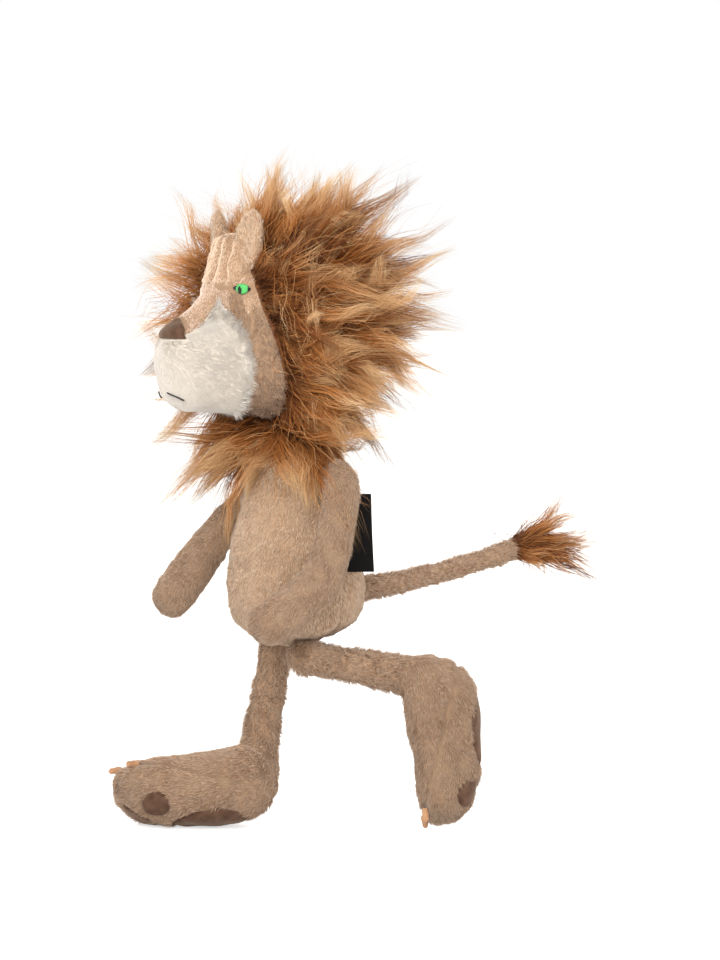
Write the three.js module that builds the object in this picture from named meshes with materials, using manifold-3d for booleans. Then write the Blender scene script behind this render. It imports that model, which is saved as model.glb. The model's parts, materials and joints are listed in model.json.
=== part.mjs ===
// Long-maned plush lion, standing in mid stride. Millimetres, +Z up, the lion looks along -X
// and its left side is -Y. The origin is under the middle of the whole figure, on the floor.
import * as THREE from 'three';
import { mergeVertices } from 'three/addons/utils/BufferGeometryUtils.js';
import Module from 'manifold-3d';

const wasm = await Module();
wasm.setup();

// cloth and clearances
const cloth = 1.8; // short plush with its backing
const seamGap = 0.3; // between two pieces that are sewn or lie on each other
const fillGap = 0.4; // between a cover and its stuffing
const seatGap = 0.6; // around the round root of a limb that turns
const turnGap = 1; // between the ruff and the torso that it turns over
const flatDepth = 0.5; // how deep a foot is pressed flat by the floor
const overrun = 6; // how far a cutting shape reaches past what it cuts
const mergeReach = 1e-4; // corners this close are one

// facets
const coverSides = 18;
const fillSides = 12;
const limbSides = 10;
const pileSides = 14;
const seatSides = 16;
const capRings = 3; // in each rounded end
const torsoRings = 7; // between the rounded ends
const skullRings = 4;
const snoutRings = 5;
const ridgeRings = 4;
const limbRings = 5;
const footRings = 5;
const tuftRings = 3;
const bandShare = 0.6; // bands of a ball, of its sides

// torso
const torso = { height: 128, radius: 40.5, axisX: -2.5, crotchZ: 116, belly: 0.5, seamX: 10 };
// radius shares from the crotch to the neck, at equal steps
const torsoShares = [0.66, 0.93, 1.0, 0.96, 0.87, 0.78, 0.71, 0.62];
const torsoCapShare = 0.42; // length of the rounded ends, of the radius
// how far the belly hangs forward at the same steps
const bellyShares = [0.2, 0.8, 1, 0.8, 0.4, 0, 0, 0];

// neck and head
const torsoTop = torso.crotchZ + torso.height;
const neck = { radius: 15, stem: 12, rise: 5, depth: 13 }; // rise above the torso, depth into it
const neckX = torso.axisX;
const neckZ = torsoTop + neck.rise;
const skull = { height: 104, depth: 80, width: 73, middleX: -22, rise: 5, cap: 29 };
const chinZ = neckZ + skull.rise;
// up is counted from the chin
const skullWidthShares = [0.8, 0.96, 1, 1, 0.99, 0.95, 0.88];
const skullDepthShares = [0.8, 0.95, 1, 1, 0.98, 0.94, 0.86];
const muzzle = { tipX: -91, backX: -38, width: 54, height: 57, up: 28.5, rise: 5, squareness: 2.5,
  tipCap: 15, backCap: 10 };
const muzzleZ = chinZ + muzzle.up;
const muzzleWidthShares = [0.72, 0.93, 1, 0.98];
const muzzleHeightShares = [0.86, 0.9, 1, 1.1];
const bridge = { tipX: -79, tipUp: 46, browX: -47, browUp: 70, radius: 11 };
const bridgeShares = [0.84, 0.95, 1.1];
const bridgeSidesShare = 0.5;
// seam of the white muzzle from the side: shares of its length from the tip and of its height
const muzzleSeamShares = [[-0.4, -0.3], [-0.4, 0.84], [0.2, 0.88], [0.44, 0.98], [0.62, 1.2],
  [0.72, 1.04], [0.8, 0.92], [0.87, 0.6], [0.88, 0.35], [0.86, -0.3]];
const nose = { length: 21, width: 27, height: 19, x: -88, up: 55, thick: 1.6 };
const eye = { length: 10.5, height: 6, thick: 0.9, x: -52, up: 75 };
const ear = { width: 18, height: 38, thick: 10, wall: 2.6, x: -43, y: 22, up: 108, lean: 12, turn: 20 };

// mane: a thick hood on the back of the head with long locks
const mane = { seamLowX: -20, seamHighX: -49, pile: 33, frontPile: 18, frontDepth: 26,
  hemDrop: 1 }; // its hem below the chin
const lock = { length: 32, radius: 16, root: 8, droop: 6, steps: 2, sides: 5, taper: 0.8 };
const maneFlare = { left: 10, right: 42 }; // how far the locks beside the face are combed forward
const steepShare = 0.8; // above this upward share a lock's sides are laid out by the x axis
// rows of locks on the left half: tilt above the horizon, and angles from the back to the side
const maneRows = [
  { tilt: 66, from: 30, to: 110, count: 3, reachShare: 0.85 },
  { tilt: 38, from: 14, to: 102, count: 5, reachShare: 0.96 },
  { tilt: 12, from: 24, to: 98, count: 5, reachShare: 1 },
  { tilt: -14, from: 14, to: 94, count: 5, reachShare: 1 },
  { tilt: -38, from: 26, to: 88, count: 3, reachShare: 0.9 },
];
// the ruff hangs from just below the neck's pivot
const ruff = { topDrop: 1, hemDrop: 17, lip: 4, reach: 37, locks: 7, spread: 40, length: 54, radius: 12,
  slope: 55 };
const ruffTop = neckZ - ruff.topDrop;
const ruffHem = neckZ - ruff.hemDrop;

// arms
const arm = { radius: 10.6, rootX: 7, rootY: 32.6, drop: 25 }; // drop below the torso's top
const armShares = [1, 1, 0.97, 1, 1.07, 1.14, 1.1];
const armSideways = new THREE.Vector3(1, 0, -0.6).normalize(); // across every stretch of an arm
// from inside the shoulder to the paw: the left arm bends at the elbow, the right one less
const leftArmPath = [[0, 10, 0], [0, 0, 0], [-3, -14, -6], [-11, -23, -28], [-18, -25, -52],
  [-37, -26, -70], [-64, -24, -86]];
const rightArmPath = [[0, 10, 0], [0, 0, 0], [-4, -14, -5], [-21, -22, -27], [-39, -25, -46],
  [-56, -26, -67], [-73, -25, -88]];

// legs
const leg = { length: 60, radius: 9.6, rootX: -6, rootY: 21, drop: 4.7, splay: 6 }; // drop below the torso
const legShares = [1.08, 1.06, 0.95, 0.96, 1.02, 1.1, 1.08];
// how far each joint is turned in this stride, in degrees, forward is positive
const stride = { lean: 3.2, leftHip: -70, rightHip: 8, leftAnkle: -10, rightAnkle: -3,
  search: 20, tries: 16 };

// feet, seen from the ankle's middle; shares run from the toes to the heel
const foot = { length: 101, width: 48, heelX: 11, heelZ: -23.5, toeZ: -29.5, top: 20, bottom: 25,
  squareness: 2.3, toeCap: 17, heelCap: 24, seamToeZ: -17.5, seamHeelZ: -36.5 };
const footTopShares = [0.6, 0.62, 0.68, 0.82, 0.96, 1.06, 1.0];
const footBottomShares = [0.72, 0.88, 1, 1.02, 1, 0.9, 0.84];
const footWidthShares = [0.84, 0.99, 1.02, 0.98, 0.92, 0.88, 0.84];
const footTurn = 14; // how far the toes of the standing foot point outward
const footRoll = { left: 28, right: 24 }; // how far each sole is turned toward the lion's left
const pad = { thick: 1.3 };
const toeX = foot.heelX - foot.length;
const solePad = { length: 44, width: 30, fromHeel: 42 };
const toePad = { length: 17, width: 12.5, back: 23, lead: 9 }; // back from the toes' tip
const toeSpread = 15.5; // between the middles of two neighbouring toes
const claw = { length: 9, radius: 3, root: 4, back: 11, up: 8, lead: 7, droop: 2, splayShare: 0.5, sides: 6 };

// tail
const tail = { length: 118, radius: 5.9, rootX: 39.5, up: 31, rise: 19, sag: 3 }; // up from the crotch
const tailBendShares = [0.35, 0.7]; // where the tail sags, of its length
const tailShares = [1.15, 1.1, 1, 0.96, 0.96, 1];
const tuft = { length: 44, radius: 14, overlap: 6, locks: 7, lockLength: 36, lockRadius: 6, spread: 22 };

// side label, bare
const label = { width: 22, height: 45, thick: 0.9, drop: 58, tuck: 1.4 };
const labelZ = torsoTop - label.drop;

// how rough each surface is
const roughness = { pile: 0.95, velour: 0.8, thread: 0.6 };

// colours
const colours = { plush: 0xbf9f80, face: 0xd0ae8f, white: 0xeeeae2, velour: 0x5b4538, eye: 0x5cc870,
  black: 0x1e1a1a, claw: 0xe0a064, mane: 0xa87240, filling: 0xf2f0ea };

// turns a closed geometry into a solid that can be cut and joined, its faces pointing out
function solidOf(geometry) {
  const bare = geometry.clone();
  bare.deleteAttribute('normal');
  bare.deleteAttribute('uv');
  const merged = mergeVertices(bare, mergeReach);
  const corners = new Uint32Array(merged.index.array);
  if (signedVolume(merged.attributes.position, corners) < 0) {
    for (let i = 0; i < corners.length; i += 3) [corners[i], corners[i + 1]] = [corners[i + 1], corners[i]];
  }
  return new wasm.Manifold(new wasm.Mesh({
    numProp: 3,
    vertProperties: new Float32Array(merged.attributes.position.array),
    triVerts: corners,
  }));
}

function signedVolume(places, corners) {
  const [a, b, c] = [new THREE.Vector3(), new THREE.Vector3(), new THREE.Vector3()];
  let volume = 0;
  for (let i = 0; i < corners.length; i += 3) {
    a.fromBufferAttribute(places, corners[i]);
    b.fromBufferAttribute(places, corners[i + 1]);
    c.fromBufferAttribute(places, corners[i + 2]);
    volume += a.dot(b.cross(c)) / 6;
  }
  return volume;
}

// turns a solid back into a geometry
function geometryOf(solid) {
  const mesh = solid.getMesh();
  const places = new Float32Array(mesh.numVert * 3);
  for (let i = 0; i < mesh.numVert; i++) {
    for (let k = 0; k < 3; k++) places[3 * i + k] = mesh.vertProperties[mesh.numProp * i + k];
  }
  const geometry = new THREE.BufferGeometry();
  geometry.setAttribute('position', new THREE.BufferAttribute(places, 3));
  geometry.setIndex(new THREE.BufferAttribute(new Uint32Array(mesh.triVerts), 1));
  geometry.computeVertexNormals();
  return geometry;
}

// closed skin over a list of rings of points, with a pole at each end
function skinOf(rings, startPole, endPole) {
  const sides = rings[0].length;
  const points = [startPole, ...rings.flat(), endPole];
  const last = points.length - 1;
  const faces = [];
  for (let k = 0; k < sides; k++) {
    const next = (k + 1) % sides;
    faces.push(0, 1 + next, 1 + k);
    for (let r = 0; r + 1 < rings.length; r++) {
      const a = 1 + r * sides;
      faces.push(a + k, a + next, a + sides + next, a + k, a + sides + next, a + sides + k);
    }
    const end = 1 + (rings.length - 1) * sides;
    faces.push(last, end + k, end + next);
  }
  const geometry = new THREE.BufferGeometry().setFromPoints(points);
  geometry.setIndex(faces);
  return geometry;
}

// value of a row of shares at t from 0 to 1, smooth between them
function shareAt(shares, t) {
  const curve = new THREE.SplineCurve(shares.map((share, i) => new THREE.Vector2(i, share)));
  return curve.getPoint(THREE.MathUtils.clamp(t, 0, 1)).y;
}

// Swelling stuffed form along a path with rounded ends. side, top and bottom give its half
// widths at t. grow moves the whole skin out, or in where it is negative, and the reaches
// lengthen its ends, so that a hollow breaks through.
function stuffedForm({ path, side, top, bottom, startCap, endCap, grow = 0, startReach = 0,
  endReach = 0, rings, sides, squareness = 2, sideways = new THREE.Vector3(0, 1, 0) }) {
  const curve = new THREE.CatmullRomCurve3(path, false, 'centripetal');
  const length = curve.getLength();
  const from = -grow - startReach;
  const to = length + grow + endReach;
  const capA = startCap + grow;
  const capB = endCap + grow;
  const inset = (i) => 1 - Math.cos(i / capRings * Math.PI / 2);
  const along = [];
  for (let i = 1; i <= capRings; i++) along.push(from + capA * inset(i));
  const middle = length - endCap - startCap;
  for (let i = startReach > 0 ? 0 : 1; i < rings + (endReach > 0 ? 1 : 0); i++) {
    along.push(startCap + middle * i / rings);
  }
  for (let i = capRings; i >= 1; i--) along.push(to - capB * inset(i));
  const placeAt = (s) => {
    const t = THREE.MathUtils.clamp(s / length, 0, 1);
    const place = curve.getPointAt(t);
    const forward = curve.getTangentAt(t);
    return { t, forward, place: place.addScaledVector(forward, s - t * length) };
  };
  const loop = along.map((s) => {
    const { t, forward, place } = placeAt(s);
    const intoA = Math.min(1, (s - from) / capA);
    const intoB = Math.min(1, (to - s) / capB);
    const round = Math.sqrt((1 - (1 - intoA) ** 2) * (1 - (1 - intoB) ** 2));
    const across = sideways.clone().addScaledVector(forward, -sideways.dot(forward)).normalize();
    const upward = new THREE.Vector3().crossVectors(forward, across);
    const ring = [];
    for (let k = 0; k < sides; k++) {
      const angle = 2 * Math.PI * k / sides;
      const c = Math.sign(Math.cos(angle)) * Math.abs(Math.cos(angle)) ** (2 / squareness);
      const d = Math.sign(Math.sin(angle)) * Math.abs(Math.sin(angle)) ** (2 / squareness);
      const high = d > 0 ? top(t) : bottom(t);
      ring.push(place.clone().addScaledVector(across, c * round * (side(t) + grow))
        .addScaledVector(upward, d * round * (high + grow)));
    }
    return ring;
  });
  return solidOf(skinOf(loop, placeAt(from).place, placeAt(to).place));
}

// round stuffed tube along a path, its radius given as shares
function stuffedTube(path, radius, shares, size) {
  const wide = (t) => radius * shareAt(shares, t);
  return stuffedForm({ path, side: wide, top: wide, bottom: wide, startCap: radius, endCap: radius,
    ...size });
}

function ball(radius, centre, sides = limbSides) {
  const geometry = new THREE.SphereGeometry(radius, sides, Math.round(sides * bandShare));
  return solidOf(geometry.translate(centre.x, centre.y, centre.z));
}

// box between two corners
function block(low, high) {
  const size = high.clone().sub(low);
  const middle = low.clone().add(high).multiplyScalar(0.5);
  return solidOf(new THREE.BoxGeometry(size.x, size.y, size.z).translate(middle.x, middle.y, middle.z));
}

// one lock of long pile: a tapered, drooping spike
function pileLock(root, direction, length, radius, droop, sides = lock.sides, steps = lock.steps) {
  const placeAt = (t) => root.clone().addScaledVector(direction, length * t)
    .add(new THREE.Vector3(0, 0, -droop * t * t));
  const helper = Math.abs(direction.z) > steepShare ? new THREE.Vector3(1, 0, 0) : new THREE.Vector3(0, 0, 1);
  const across = new THREE.Vector3().crossVectors(direction, helper).normalize();
  const upward = new THREE.Vector3().crossVectors(direction, across).normalize();
  const loop = [];
  for (let i = 0; i < steps; i++) {
    const t = i / steps;
    const wide = radius * (1 - t) ** lock.taper;
    const middle = placeAt(t);
    loop.push(Array.from({ length: sides }, (_, k) => {
      const angle = 2 * Math.PI * k / sides;
      return middle.clone().addScaledVector(across, wide * Math.cos(angle))
        .addScaledVector(upward, wide * Math.sin(angle));
    }));
  }
  const geometry = skinOf(loop, placeAt(-radius / length / 2), placeAt(1));
  return solidOf(geometry);
}

const bothSides = [['left', -1], ['right', 1]];
const vec = (x, y, z) => new THREE.Vector3(x, y, z);
const radians = THREE.MathUtils.degToRad;

function part(name, solid, colour, rough = roughness.pile) {
  const material = new THREE.MeshStandardMaterial({ color: colour, roughness: rough, metalness: 0 });
  const mesh = new THREE.Mesh(geometryOf(solid), material);
  mesh.name = name;
  return mesh;
}

// torso
function torsoForm(grow = 0, sides = coverSides) {
  const last = bellyShares.length - 1;
  const path = bellyShares.map((share, i) => vec(torso.axisX - torso.belly * share, 0,
    torso.crotchZ + torso.height * i / last));
  const wide = (t) => torso.radius * shareAt(torsoShares, t);
  const cap = torso.radius * torsoCapShare;
  return stuffedForm({ path, side: wide, top: wide, bottom: wide, startCap: cap, endCap: cap, grow,
    rings: torsoRings, sides });
}

// everything on one side of an upright or leaning seam; the outline is seen from the lion's side
function sideRegion(outline) {
  const shape = new THREE.Shape(outline.map(([x, z]) => new THREE.Vector2(x, z)));
  const half = skull.width + overrun;
  const geometry = new THREE.ExtrudeGeometry(shape, { depth: 2 * half, bevelEnabled: false });
  geometry.rotateX(Math.PI / 2).translate(0, half, 0);
  return solidOf(geometry);
}

const shoulderZ = torsoTop - arm.drop;
const hipZ = torso.crotchZ - leg.drop;
const onBothSides = (x, y, z) => ({ left: vec(x, -y, z), right: vec(x, y, z) });
const shoulders = onBothSides(arm.rootX, arm.rootY, shoulderZ);
const hips = onBothSides(leg.rootX, leg.rootY, hipZ);
const tailRoot = vec(tail.rootX, 0, torso.crotchZ + tail.up);
const neckPivot = vec(neckX, 0, neckZ);

const seat = (radius, centre) => ball(radius + seatGap, centre, seatSides);

function neckStem(grow) {
  const low = torsoTop - neck.depth - grow;
  const wide = neck.stem + grow;
  const geometry = new THREE.CylinderGeometry(wide, wide, neckZ - low, coverSides);
  geometry.rotateX(Math.PI / 2).translate(neckX, 0, (neckZ + low) / 2);
  return solidOf(geometry);
}

// places where limbs, tail and neck are let into the torso
function torsoSeats() {
  return [
    seat(arm.radius * armShares[0], shoulders.left),
    seat(arm.radius * armShares[0], shoulders.right),
    seat(leg.radius * legShares[0], hips.left),
    seat(leg.radius * legShares[0], hips.right),
    seat(tail.radius * tailShares[0], tailRoot),
    seat(neck.radius, neckPivot),
    neckStem(seatGap),
  ];
}

const cutBy = (solid, cutters) => cutters.reduce((left, cutter) => left.subtract(cutter), solid);

// the largest body of a solid, without crumbs that a cut has left
function mainBody(solid) {
  return solid.decompose().sort((a, b) => b.volume() - a.volume())[0];
}

function makeTorso() {
  const group = new THREE.Group();
  const seats = torsoSeats();
  const shell = cutBy(torsoForm().subtract(torsoForm(-cloth, fillSides)), seats);
  const wide = torso.radius + overrun;
  const low = torso.crotchZ - overrun;
  const high = torso.crotchZ + torso.height + overrun;
  const behind = block(vec(torso.seamX - seamGap / 2, -wide, low), vec(torso.axisX + 2 * wide, wide, high));
  const ahead = block(vec(torso.axisX - 2 * wide, -wide, low), vec(torso.seamX + seamGap / 2, wide, high));
  const filling = cutBy(torsoForm(-cloth - fillGap, fillSides), seats);
  group.add(part('torso_front_panel', mainBody(shell.subtract(behind)), colours.plush));
  group.add(part('torso_back_panel', mainBody(shell.subtract(ahead)), colours.plush));
  group.add(part('torso_stuffing', mainBody(filling), colours.filling));
  group.add(makeLabel());
  return group;
}

// side label: a bare woven strip whose front edge is sewn into the left side seam
function makeLabel() {
  const t = (labelZ - torso.crotchZ) / torso.height;
  const half = label.height / 2 / torso.height;
  const radiusAt = (share) => torso.radius * shareAt(torsoShares, share);
  const depthAt = (share) => Math.sqrt(radiusAt(share) ** 2 - (torso.seamX - torso.axisX) ** 2);
  const lean = Math.atan((depthAt(t - half) - depthAt(t + half)) / label.height);
  const geometry = new THREE.BoxGeometry(label.width, label.thick, label.height);
  geometry.translate(label.width / 2 - label.tuck, 0, 0).rotateX(-lean);
  geometry.translate(torso.seamX, -depthAt(t) - label.thick, labelZ);
  return part('side_label', mainBody(solidOf(geometry).subtract(torsoForm(seamGap))), colours.black);
}

// head
function skullForm(grow, sides) {
  const path = [0, 0.5, 1].map((share) => vec(skull.middleX, 0, chinZ + skull.height * share));
  const deep = (t) => skull.depth / 2 * shareAt(skullDepthShares, t);
  return stuffedForm({ path, side: (t) => skull.width / 2 * shareAt(skullWidthShares, t), top: deep,
    bottom: deep, startCap: skull.cap, endCap: skull.cap, grow, rings: skullRings, sides });
}

function headForm(grow = 0, sides = coverSides) {
  const path = [vec(muzzle.tipX, 0, muzzleZ), vec(muzzle.backX, 0, muzzleZ + muzzle.rise)];
  const high = (t) => muzzle.height / 2 * shareAt(muzzleHeightShares, t);
  const snout = stuffedForm({ path, side: (t) => muzzle.width / 2 * shareAt(muzzleWidthShares, t),
    top: high, bottom: high, startCap: muzzle.tipCap, endCap: muzzle.backCap, grow, rings: snoutRings, sides,
    squareness: muzzle.squareness });
  const ridge = stuffedTube([vec(bridge.tipX, 0, chinZ + bridge.tipUp),
    vec(bridge.browX, 0, chinZ + bridge.browUp)], bridge.radius, bridgeShares,
    { grow, rings: ridgeRings, sides: Math.round(sides * bridgeSidesShare) });
  return skullForm(grow, sides).add(snout).add(ridge);
}

// what lies behind the seam between the face and the mane
function behindManeSeam(shift) {
  const low = chinZ - skull.cap;
  const high = chinZ + skull.height + skull.cap;
  const lean = (mane.seamHighX - mane.seamLowX) / skull.height;
  const xAt = (z) => mane.seamLowX + lean * (z - chinZ) + shift;
  const far = skull.middleX + skull.depth + 2 * mane.pile;
  return sideRegion([[xAt(low), low], [far, low], [far, high], [xAt(high), high]]);
}

function muzzleRegion(grow) {
  const length = muzzle.backX - muzzle.tipX;
  const bottom = muzzleZ - muzzle.height / 2;
  const outline = muzzleSeamShares.map(([along, up]) => [muzzle.tipX + along * length,
    bottom + up * muzzle.height]);
  const count = outline.length;
  const middle = outline.reduce(([x, z], [px, pz]) => [x + px / count, z + pz / count], [0, 0]);
  const grown = outline.map(([x, z]) => {
    const away = new THREE.Vector2(x - middle[0], z - middle[1]);
    away.setLength(away.length() + grow);
    return [middle[0] + away.x, middle[1] + away.y];
  });
  return sideRegion(grown);
}

function stretchedBall(centre, length, width, height, sides = limbSides) {
  const geometry = new THREE.SphereGeometry(1, sides, Math.round(sides * bandShare));
  geometry.scale(length / 2, width / 2, height / 2).translate(centre.x, centre.y, centre.z);
  return solidOf(geometry);
}

// thin patch that follows the skin of the head within a region
function headPatch(region, thick) {
  return mainBody(headForm(thick + seamGap).intersect(region).subtract(headForm(seamGap)));
}

function earForm(sideSign, grow = 0) {
  const geometry = new THREE.SphereGeometry(1, limbSides, Math.round(limbSides * bandShare));
  geometry.scale(ear.thick / 2 + grow, ear.width / 2 + grow, ear.height / 2 + grow);
  geometry.rotateZ(radians(-sideSign * ear.turn)).rotateX(radians(-sideSign * ear.lean));
  geometry.translate(ear.x, sideSign * ear.y, chinZ + ear.up);
  return solidOf(geometry);
}

function earShell(sideSign) {
  const hollow = new THREE.SphereGeometry(1, limbSides, Math.round(limbSides * bandShare));
  hollow.scale(ear.thick / 2, ear.width / 2 - ear.wall, ear.height / 2 - ear.wall);
  hollow.translate(-ear.wall, 0, 0);
  hollow.rotateZ(radians(-sideSign * ear.turn)).rotateX(radians(-sideSign * ear.lean));
  hollow.translate(ear.x, sideSign * ear.y, chinZ + ear.up);
  return mainBody(earForm(sideSign).subtract(solidOf(hollow)).subtract(headForm(seamGap)));
}

const skullMiddle = vec(skull.middleX, 0, chinZ + skull.height / 2);

// distance from the skull's middle to its skin in a direction
function skullReach(d) {
  return 1 / Math.hypot(d.x / (skull.depth / 2), d.y / (skull.width / 2), d.z / (skull.height / 2));
}

function directionAt(tilt, turn, sideSign) {
  return vec(Math.cos(tilt) * Math.cos(turn), sideSign * Math.cos(tilt) * Math.sin(turn), Math.sin(tilt));
}

function maneHalf(sideSign) {
  let hood = skullForm(mane.frontPile, pileSides).intersect(behindManeSeam(0))
    .add(skullForm(mane.pile, pileSides).intersect(behindManeSeam(mane.frontDepth)));
  const flare = sideSign < 0 ? maneFlare.left : maneFlare.right;
  for (const row of maneRows) {
    for (let i = 0; i < row.count; i++) {
      const share = i / (row.count - 1);
      const turn = row.from + (row.to - row.from) * share;
      const out = directionAt(radians(row.tilt), radians(turn), sideSign);
      const root = skullMiddle.clone().addScaledVector(out, skullReach(out) + mane.pile - lock.root);
      const along = directionAt(radians(row.tilt), radians(turn + flare * share), sideSign);
      const length = (lock.length + lock.root) * row.reachShare;
      hood = hood.add(pileLock(root, along, length, lock.radius, lock.droop));
    }
  }
  const wide = skull.depth * 2;
  const [low, high] = [chinZ - wide, chinZ + 2 * wide];
  const other = sideSign < 0 ? block(vec(-wide, -seamGap / 2, low), vec(wide, wide, high))
    : block(vec(-wide, -wide, low), vec(wide, seamGap / 2, high));
  const back = neckX + ruff.reach + ruff.lip;
  const below = block(vec(-wide, -wide, low), vec(back, wide, chinZ - mane.hemDrop));
  const face = headForm(seamGap).subtract(behindManeSeam(0));
  return mainBody(cutBy(hood, [other, below, skullForm(-cloth, fillSides), face, earForm(sideSign, seamGap),
    seat(neck.radius, neckPivot)]));
}

function makeHead() {
  const group = new THREE.Group();
  const neckSeat = seat(neck.radius, neckPivot);
  const shell = headForm().subtract(headForm(-cloth, fillSides));
  const snoutRegion = muzzleRegion(0);
  const face = shell.subtract(muzzleRegion(seamGap)).subtract(behindManeSeam(-seamGap)).subtract(neckSeat);
  const noseRegion = stretchedBall(vec(nose.x, 0, chinZ + nose.up), nose.length, nose.width, nose.height);
  group.add(part('face_cover', mainBody(face), colours.face));
  group.add(part('muzzle_cover', mainBody(shell.intersect(snoutRegion)), colours.white));
  group.add(part('nose', headPatch(noseRegion, nose.thick), colours.velour, roughness.velour));
  for (const [side, sign] of bothSides) {
    const span = vec(eye.x, sign * skull.width / 2, chinZ + eye.up);
    const region = stretchedBall(span, eye.length, skull.width, eye.height);
    group.add(part(`eye_${side}`, headPatch(region, eye.thick), colours.eye, roughness.thread));
    group.add(part(`ear_${side}`, earShell(sign), colours.plush));
    group.add(part(`mane_${side}`, maneHalf(sign), colours.mane));
  }
  const filling = headForm(-cloth - fillGap, fillSides).subtract(neckSeat);
  group.add(part('head_stuffing', mainBody(filling), colours.filling));
  return group;
}

const neckBall = (grow) => ball(neck.radius + grow, neckPivot, coverSides);

// neck: a stuffed stem with a round top, and the ruff of long pile that lies around it
function makeNeck() {
  const group = new THREE.Group();
  const stem = neckStem(0).add(neckBall(0));
  const ruffZ = (ruffTop + ruffHem) / 2;
  const collar = new THREE.CylinderGeometry(neck.radius + ruff.lip, ruff.reach, ruffTop - ruffHem, pileSides);
  collar.rotateX(Math.PI / 2).translate(neckX, 0, ruffZ);
  let pile = solidOf(collar);
  for (let i = 0; i < ruff.locks; i++) {
    const turn = Math.PI + radians(ruff.spread * (2 * i / (ruff.locks - 1) - 1));
    const out = vec(Math.cos(turn), Math.sin(turn), 0);
    const root = neckPivot.clone().addScaledVector(out, neck.radius + ruff.radius / 2);
    root.z = ruffZ;
    const slope = radians(ruff.slope);
    const along = out.clone().multiplyScalar(Math.cos(slope)).add(vec(0, 0, -Math.sin(slope)));
    pile = pile.add(pileLock(root, along, ruff.length, ruff.radius, 0));
  }
  pile = cutBy(pile, [torsoForm(turnGap), neckBall(seamGap), neckStem(seamGap)]);
  group.add(part('neck_stem', stem, colours.plush));
  group.add(part('neck_ruff', mainBody(pile), colours.mane));
  return group;
}

const sideward = (path, sign) => path.map(([x, y, z]) => vec(x, y * -sign, z));

// cover that is open at its root, and the stuffing inside it
function makeLimb(name, path, radius, shares, openEnd, sideways = vec(0, 1, 0)) {
  const size = { rings: limbRings, sides: limbSides, sideways, startCap: radius * shares[0],
    endCap: radius * shares.at(-1) };
  const hollow = { grow: -cloth, startReach: cloth + overrun, endReach: openEnd ? cloth + overrun : 0 };
  const outer = stuffedTube(path, radius, shares, size);
  const inner = stuffedTube(path, radius, shares, { ...size, ...hollow });
  const filling = stuffedTube(path, radius, shares, { ...size, grow: -cloth - fillGap });
  return [part(`${name}_cover`, mainBody(outer.subtract(inner)), colours.plush),
    part(`${name}_stuffing`, filling, colours.filling)];
}

function makeArm(side, sign) {
  const group = new THREE.Group();
  group.position.copy(shoulders[side]);
  const path = side === 'left' ? leftArmPath : rightArmPath;
  group.add(...makeLimb(`arm_${side}`, sideward(path, sign), arm.radius, armShares, false, armSideways));
  return group;
}

// feet
function footForm(grow = 0, sides = coverSides) {
  const path = [vec(toeX, 0, foot.toeZ), vec((foot.heelX + toeX) / 2, 0, (foot.heelZ + foot.toeZ) / 2),
    vec(foot.heelX, 0, foot.heelZ)];
  return stuffedForm({ path, side: (t) => foot.width / 2 * shareAt(footWidthShares, t),
    top: (t) => foot.top * shareAt(footTopShares, t),
    bottom: (t) => foot.bottom * shareAt(footBottomShares, t), startCap: foot.toeCap, endCap: foot.heelCap,
    grow, rings: footRings, sides, squareness: foot.squareness });
}

// what lies under the seam between the upper and the sole
function underFootSeam(shift) {
  const front = toeX - overrun;
  const back = foot.heelX + overrun;
  const low = foot.heelZ - foot.bottom - overrun;
  return sideRegion([[front, foot.seamToeZ + shift], [front, low], [back, low],
    [back, foot.seamHeelZ + shift]]);
}

// thin patch that follows the sole within a region
function footPatch(region) {
  const patch = footForm(pad.thick + seamGap).intersect(region).subtract(footForm(seamGap));
  return mainBody(patch.intersect(underFootSeam(0)));
}

// the solids of one foot, seen from its ankle, with the colour of each
function footPieces(side, sign) {
  const ankleSeat = seat(leg.radius * legShares.at(-1), vec(0, 0, 0));
  const shell = footForm().subtract(footForm(-cloth, fillSides)).subtract(ankleSeat);
  const filling = footForm(-cloth - fillGap, fillSides).subtract(ankleSeat);
  const depth = foot.bottom * 2;
  const bottom = foot.heelZ - foot.bottom;
  const soleAt = vec(foot.heelX - solePad.fromHeel, 0, bottom);
  const sole = stretchedBall(soleAt, solePad.length, solePad.width, depth, pileSides);
  const pieces = [
    [`foot_${side}_upper`, mainBody(shell.subtract(underFootSeam(seamGap / 2))), colours.plush],
    [`foot_${side}_sole`, mainBody(shell.intersect(underFootSeam(-seamGap / 2))), colours.plush],
    [`foot_${side}_stuffing`, mainBody(filling), colours.filling],
    [`foot_${side}_sole_pad`, footPatch(sole), colours.velour],
  ];
  for (const [place, at] of [['inner', -1], ['middle', 0], ['outer', 1]]) {
    const y = sign * at * toeSpread;
    const padAt = vec(toeX + toePad.back - (at === 0 ? toePad.lead : 0), y, bottom);
    const root = vec(toeX + claw.back - (at === 0 ? claw.lead : 0), y, foot.toeZ + claw.up);
    const along = vec(-1, sign * at * claw.splayShare, 0).normalize();
    const spike = pileLock(root, along, claw.length + claw.root, claw.radius, claw.droop, claw.sides);
    pieces.push([`foot_${side}_toe_pad_${place}`,
      footPatch(stretchedBall(padAt, toePad.length, toePad.width, depth)), colours.velour]);
    pieces.push([`foot_${side}_claw_${place}`, mainBody(spike.subtract(footForm(seamGap))), colours.claw]);
  }
  return pieces;
}

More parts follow.
